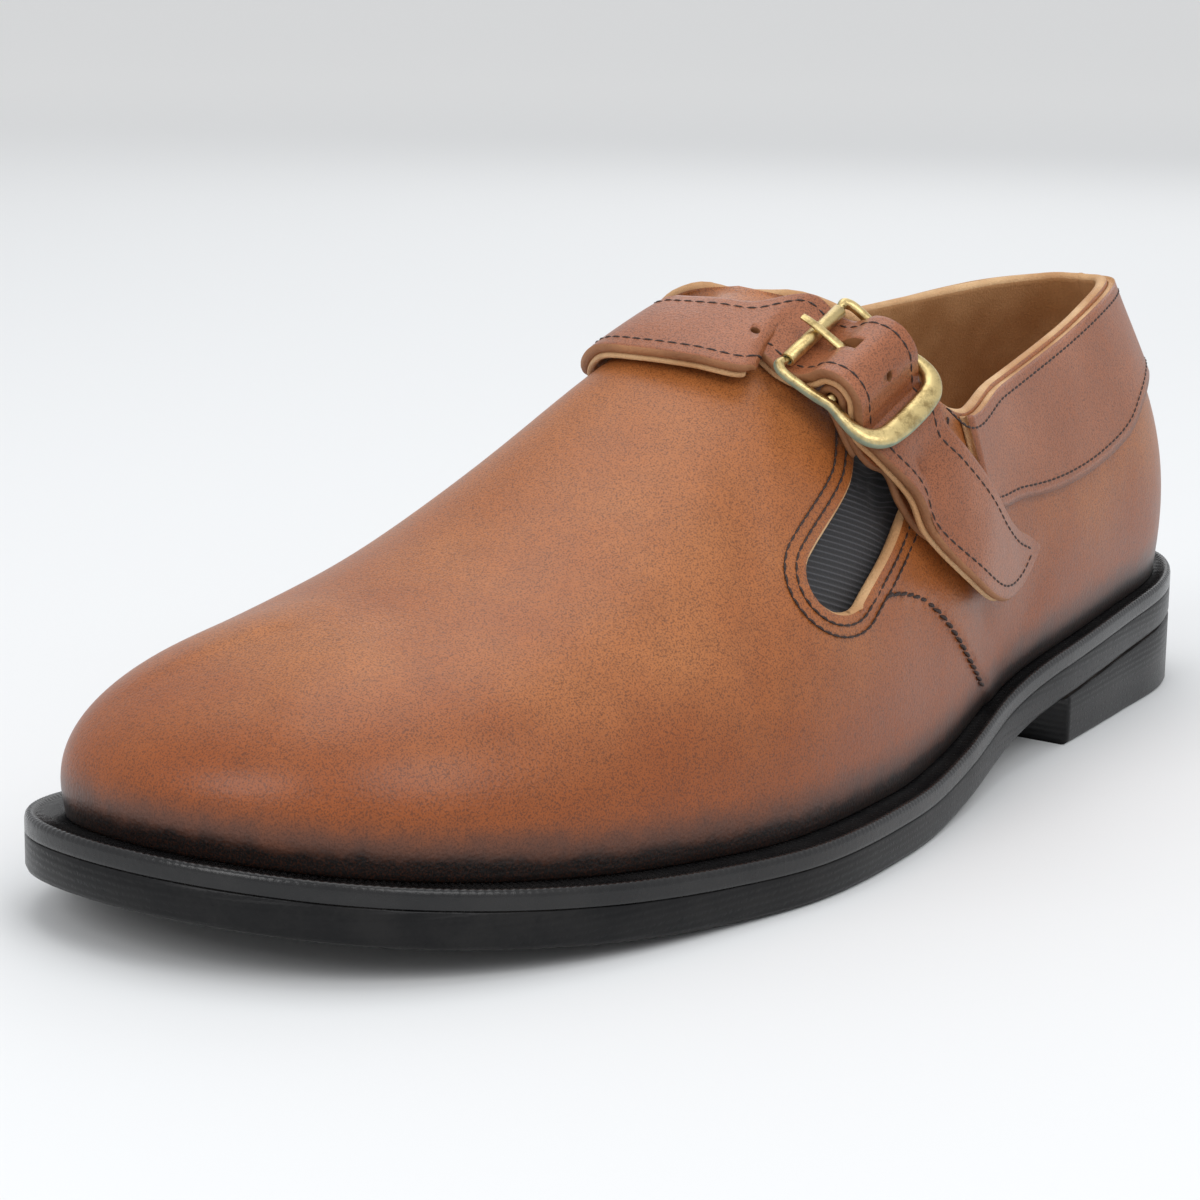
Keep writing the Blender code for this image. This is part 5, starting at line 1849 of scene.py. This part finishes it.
@dataclass
class Buckle:
    """The cast buckle: frame with its centre bar, roller and prong."""

    sides: int = 20
    samples: int = 10

    def turned(self, solid: Solid) -> Solid:
        """The solid with its faces turned outward."""
        if signed_volume(solid) < 0:
            solid.faces = [face[::-1] for face in solid.faces]
        return solid

    def loop(self) -> Solid:
        """The frame's loop, a bar of changing section."""
        half = list(FRAME_HALF)
        rows = half + [(a, -b, w, h) for a, b, w, h in half[-2:0:-1]]
        closed = np.array([rows[-1]] + rows + [rows[0], rows[1]])
        dense = smooth_rows(closed, self.samples)[self.samples : -self.samples - 1]
        dense = dense * np.array([BUCKLE_LENGTH, BUCKLE_WIDTH / 2, END_BAR_HEIGHT / 2, END_BAR_HEIGHT / 2])
        _, along, across, out = Fitting.axes()
        count = len(dense)
        made = Solid()
        points, maps = [], []
        for i, (a, b, wide, high) in enumerate(dense):
            way = dense[(i + 1) % count][:2] - dense[i - 1][:2]
            way /= np.linalg.norm(way)
            outward = along * way[1] - across * way[0]
            ring = ellipse_ring(Fitting.point(a, b, 0.0), outward * wide, out * high, self.sides, 0.82)
            points += ring
            for k in range(self.sides):
                angle = 2 * math.pi * (k + 0.5) / self.sides
                inner = 0.5 - 0.5 * math.cos(angle)
                maps.append((inner * (0.75 + 0.25 * (math.sin(angle) < 0.3)), 0.0))
        made.add(points, tube_faces(count, self.sides, True), 0, maps)
        return self.turned(made)

    def rod(self, a: float, half: float, radius: float) -> Solid:
        """A round bar across the buckle."""
        _, along, _, out = Fitting.axes()
        made = Solid()
        points = []
        for b in np.linspace(-half, half, 9):
            points += ellipse_ring(Fitting.point(a, b, 0.0), along * radius, out * radius, self.sides)
        made.add(points, tube_faces(9, self.sides), 0, [(0.4, 0.0)] * len(points))
        return self.turned(made)

    def roller(self, palette: Palette) -> None:
        """The roller: a short tube with eased ends."""
        _, along, _, out = Fitting.axes()
        bore = ROLLER_RADIUS - ROLLER_WALL
        front = -BUCKLE_LENGTH * CENTRE_BAR_PLACE
        half = ROLLER_LENGTH / 2
        profile = [(-half, bore), (-half, ROLLER_RADIUS - 0.00015), (0.00015 - half, ROLLER_RADIUS)]
        profile += [(0.0, ROLLER_RADIUS), (half - 0.00015, ROLLER_RADIUS)]
        profile += [(half, ROLLER_RADIUS - 0.00015), (half, bore)]
        points, maps = [], []
        for b, radius in profile:
            points += ellipse_ring(Fitting.point(front, b, 0.0), along * radius, out * radius, 32)
            maps += [(0.9 if radius == bore else 0.15, 0.0)] * 32
        made = Solid()
        faces = tube_faces(len(profile), 32, True)
        made.add(points, faces, 0, maps)
        piece = self.turned(made).build("buckle_roller_tube", [palette.brass])
        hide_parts("buckle_roller")

    def prong(self, palette: Palette) -> None:
        """The prong: bent round the centre bar, flat, narrower to its tip over the roller."""
        half = PRONG_THICKNESS / 2
        ring = CENTRE_BAR_RADIUS + GAP + half
        high = ROLLER_RADIUS + GAP + half
        turns = [math.radians(turn) for turn in PRONG_RING_TURNS]
        line = [(ring * math.cos(turn), ring * math.sin(turn)) for turn in turns]
        line += [(a * BUCKLE_LENGTH, c * high) for a, c in PRONG_REACH]
        dense = smooth_rows(line, 8)
        ways = np.gradient(dense, axis=0)
        ways /= np.linalg.norm(ways, axis=1)[:, None]
        _, along, across, out = Fitting.axes()
        points, maps = [], []
        for i, ((a, c), way) in enumerate(zip(dense, ways)):
            share = i / (len(dense) - 1)
            narrow = 1.0 - 0.35 * max(0.0, (share - 0.5) * 2)
            up = out * way[0] - along * way[1]
            width = across * PRONG_WIDTH / 2 * narrow
            points += ellipse_ring(Fitting.point(a, 0.0, c), width, up * half * narrow, 14, 0.7)
            maps += [(0.35, 0.0)] * 14
        made = Solid()
        made.add(points, tube_faces(len(dense), 14), 0, maps)
        piece = self.turned(made).build("buckle_prong_flat", [palette.brass])
        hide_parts("buckle_prong")

    def make(self, palette: Palette) -> None:
        """Build the three pieces."""
        made = self.loop()
        reach = BUCKLE_WIDTH / 2 * FRAME_HALF[7][1]
        bar = self.rod(0.0, reach, CENTRE_BAR_RADIUS)
        made.add(bar.points, bar.faces, 0, bar.maps)
        front = self.rod(-BUCKLE_LENGTH * CENTRE_BAR_PLACE, ROLLER_LENGTH / 2 + 0.0004, END_BAR_HEIGHT * 0.2)
        made.add(front.points, front.faces, 0, front.maps)
        piece = made.build("buckle_frame_cast", [palette.brass])
        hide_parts("buckle_frame")
        self.roller(palette)
        self.prong(palette)


@dataclass
class Stitching:
    """Every seam that is sewn in the upper itself."""

    fine: Seam = field(default_factory=lambda: Seam(pitch=0.0022, length=0.0023, radius=0.00023))
    heavy: Seam = field(default_factory=lambda: Seam(pitch=0.0026, length=0.0029, radius=0.00036, turn=10.0))
    tack: Seam = field(default_factory=lambda: Seam(pitch=0.0007, length=0.0030, radius=0.00030, turn=90.0))

    def run(self, made: Solid, seam: Seam, places: Sequence[Place], height: float) -> None:
        """Sew a line of places at a height over the last."""
        line = np.array([Last.above(place, height) for place in places])
        normals = np.array([Last.normal(*place) for place in places])
        seam.sew(made, line, normals)

    def collar(self, palette: Palette) -> None:
        """The row below the topline."""
        made = Solid()
        for side in (LATERAL, MEDIAL):
            stations = np.linspace(0.004, 0.425, 70)
            places: list[Place] = [
                (float(along), side, Last.below_crown(float(along), side, 0.0032)) for along in stations
            ]
            self.run(made, self.fine, places, GAP + BAND_THICKNESS * 0.97 if side else 0.0)
        piece = made.build("collar_stitches", [palette.thread])

    def band(self, palette: Palette) -> None:
        """The row above the band's lower edge."""
        band = Band()
        made = Solid()
        places: list[Place] = []
        for k in range(161):
            along, side = band.place(k / 160)
            low = smooth_table(BAND_EDGE, 1, along)
            span = float(np.linalg.norm(Last.point(along, side, low + 0.1) - Last.point(along, side, low)))
            places.append((along, side, low + 0.1 * 0.0022 / span))
        self.run(made, self.fine, places, GAP + BAND_THICKNESS - 0.00004)
        piece = made.build("band_stitches", [palette.thread])

    def windows(self, palette: Palette) -> None:
        """Two rows round each gore's window."""
        for side, name in ((LATERAL, "gore_stitches_lateral"), (MEDIAL, "gore_stitches_medial")):
            window = Window(side)
            made = Solid()
            for more in (0.0017, 0.0037):
                outline = smooth_rows(window.outline(more), 2)
                places = window.on_last(outline)
                self.run(made, self.fine, places, 0.00005)
            piece = made.build(name, [palette.thread])

    def side_seams(self, upper: Upper, palette: Palette) -> None:
        """The hand-sewn joins of vamp and quarter, down to the welt."""
        made = Solid()
        for side in (LATERAL, MEDIAL):
            rows = smooth_rows(upper.seam[:-1], 10)
            places: list[Place] = [(float(a) + 0.004, side, float(r)) for a, r in rows if r < 0.34]
            self.run(made, self.heavy, places, upper.overlap * 0.4)
        piece = made.build("side_seam_stitches", [palette.thread])

    def make(self, upper: Upper, palette: Palette) -> None:
        """Sew every seam."""
        self.collar(palette)
        self.band(palette)
        self.windows(palette)
        self.side_seams(upper, palette)


@dataclass
class Studio:
    """Floor, soft lights and the camera."""

    target: tuple[float, float, float] = (0.15135, 0.0, 0.04236)
    azimuth: float = 0.6433
    elevation: float = 0.2092
    distance: float = 0.546
    roll: float = 0.0159
    lens: float = 92.7

    def floor(self, palette: Palette) -> None:
        """A wide plain floor."""
        mesh = bpy.data.meshes.new("floor")
        wide = 40.0
        corners = [(-wide, -wide, 0.0), (wide, -wide, 0.0), (wide, wide, 0.0), (-wide, wide, 0.0)]
        mesh.from_pydata(corners, [], [(0, 1, 2, 3)])
        mesh.materials.append(palette.floor)
        made = bpy.data.objects.new("floor", mesh)
        bpy.context.scene.collection.objects.link(made)

    def light(self, name: str, place: Row, aim: Row, size: float, power: float) -> None:
        """A soft square light turned to a point."""
        lamp = bpy.data.lights.new(name, "AREA")
        lamp.shape = "SQUARE"
        lamp.size = size
        lamp.energy = power
        made = bpy.data.objects.new(name, lamp)
        made.location = place
        way = Vector(aim) - Vector(place)
        made.rotation_euler = way.to_track_quat("-Z", "Y").to_euler()
        bpy.context.scene.collection.objects.link(made)

    def camera(self) -> None:
        """The camera at the picture's angle."""
        lens = bpy.data.cameras.new("camera")
        lens.lens = self.lens
        lens.sensor_width = 36.0
        lens.clip_start = 0.01
        made = bpy.data.objects.new("camera", lens)
        toward = Vector(
            (
                math.cos(self.elevation) * math.cos(self.azimuth),
                math.cos(self.elevation) * math.sin(self.azimuth),
                math.sin(self.elevation),
            )
        )
        made.location = Vector(self.target) + toward * self.distance
        turn = toward.to_track_quat("Z", "Y")
        turn.rotate(Vector(toward).to_track_quat("Z", "Y").to_matrix().to_quaternion().inverted())
        right = Vector((0.0, 0.0, 1.0)).cross(toward).normalized()
        up = toward.cross(right)
        leant = right * math.cos(self.roll) + up * math.sin(self.roll)
        upright = up * math.cos(self.roll) - right * math.sin(self.roll)
        made.rotation_mode = "QUATERNION"
        made.rotation_quaternion = matrix_of(leant, upright, toward)
        bpy.context.scene.collection.objects.link(made)
        bpy.context.scene.camera = made

    def make(self, palette: Palette) -> None:
        """Set the stage."""
        self.floor(palette)
        self.camera()
        self.light("key", (0.45, 1.00, 1.05), (0.1, 0.0, 0.04), 0.8, 5.6)
        self.light("fill", (1.30, -0.05, 0.85), (0.1, 0.0, 0.04), 0.6, 4.2)
        self.light("top", (-0.05, -0.15, 1.35), (0.1, 0.0, 0.04), 1.0, 4.6)
        self.light("back", (-1.1, -0.6, 0.9), (0.05, 0.0, 0.05), 0.9, 2.6)
        world = bpy.data.worlds.new("studio")
        world.use_nodes = True
        sky = world.node_tree.nodes["Background"]
        sky.inputs["Color"].default_value = (0.96, 0.975, 1.0, 1.0)
        sky.inputs["Strength"].default_value = 0.74
        bpy.context.scene.world = world
        bpy.context.scene.view_settings.view_transform = "Standard"


def matrix_of(right: Vector, up: Vector, back: Vector) -> object:
    """The turn that takes a camera's own axes to three directions."""
    rows = ((right.x, up.x, back.x), (right.y, up.y, back.y), (right.z, up.z, back.z))
    return Matrix(rows).to_quaternion()


def main() -> None:
    """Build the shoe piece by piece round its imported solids, and set it in the studio."""
    logging.basicConfig(level=logging.INFO, format="%(name)s %(message)s")
    palette = Palette()
    Studio().make(palette)
    Bottom().make(palette)
    upper = Upper()
    upper.make(palette)
    Gore(LATERAL, "gore_elastic_lateral", "gore_lateral").make(palette)
    Gore(MEDIAL, "gore_elastic_medial", "gore_medial").make(palette)
    Band().make(palette)
    Straps().make(palette)
    Buckle().make(palette)
    Stitching().make(upper, palette)


if __name__ == "__main__":
    main()
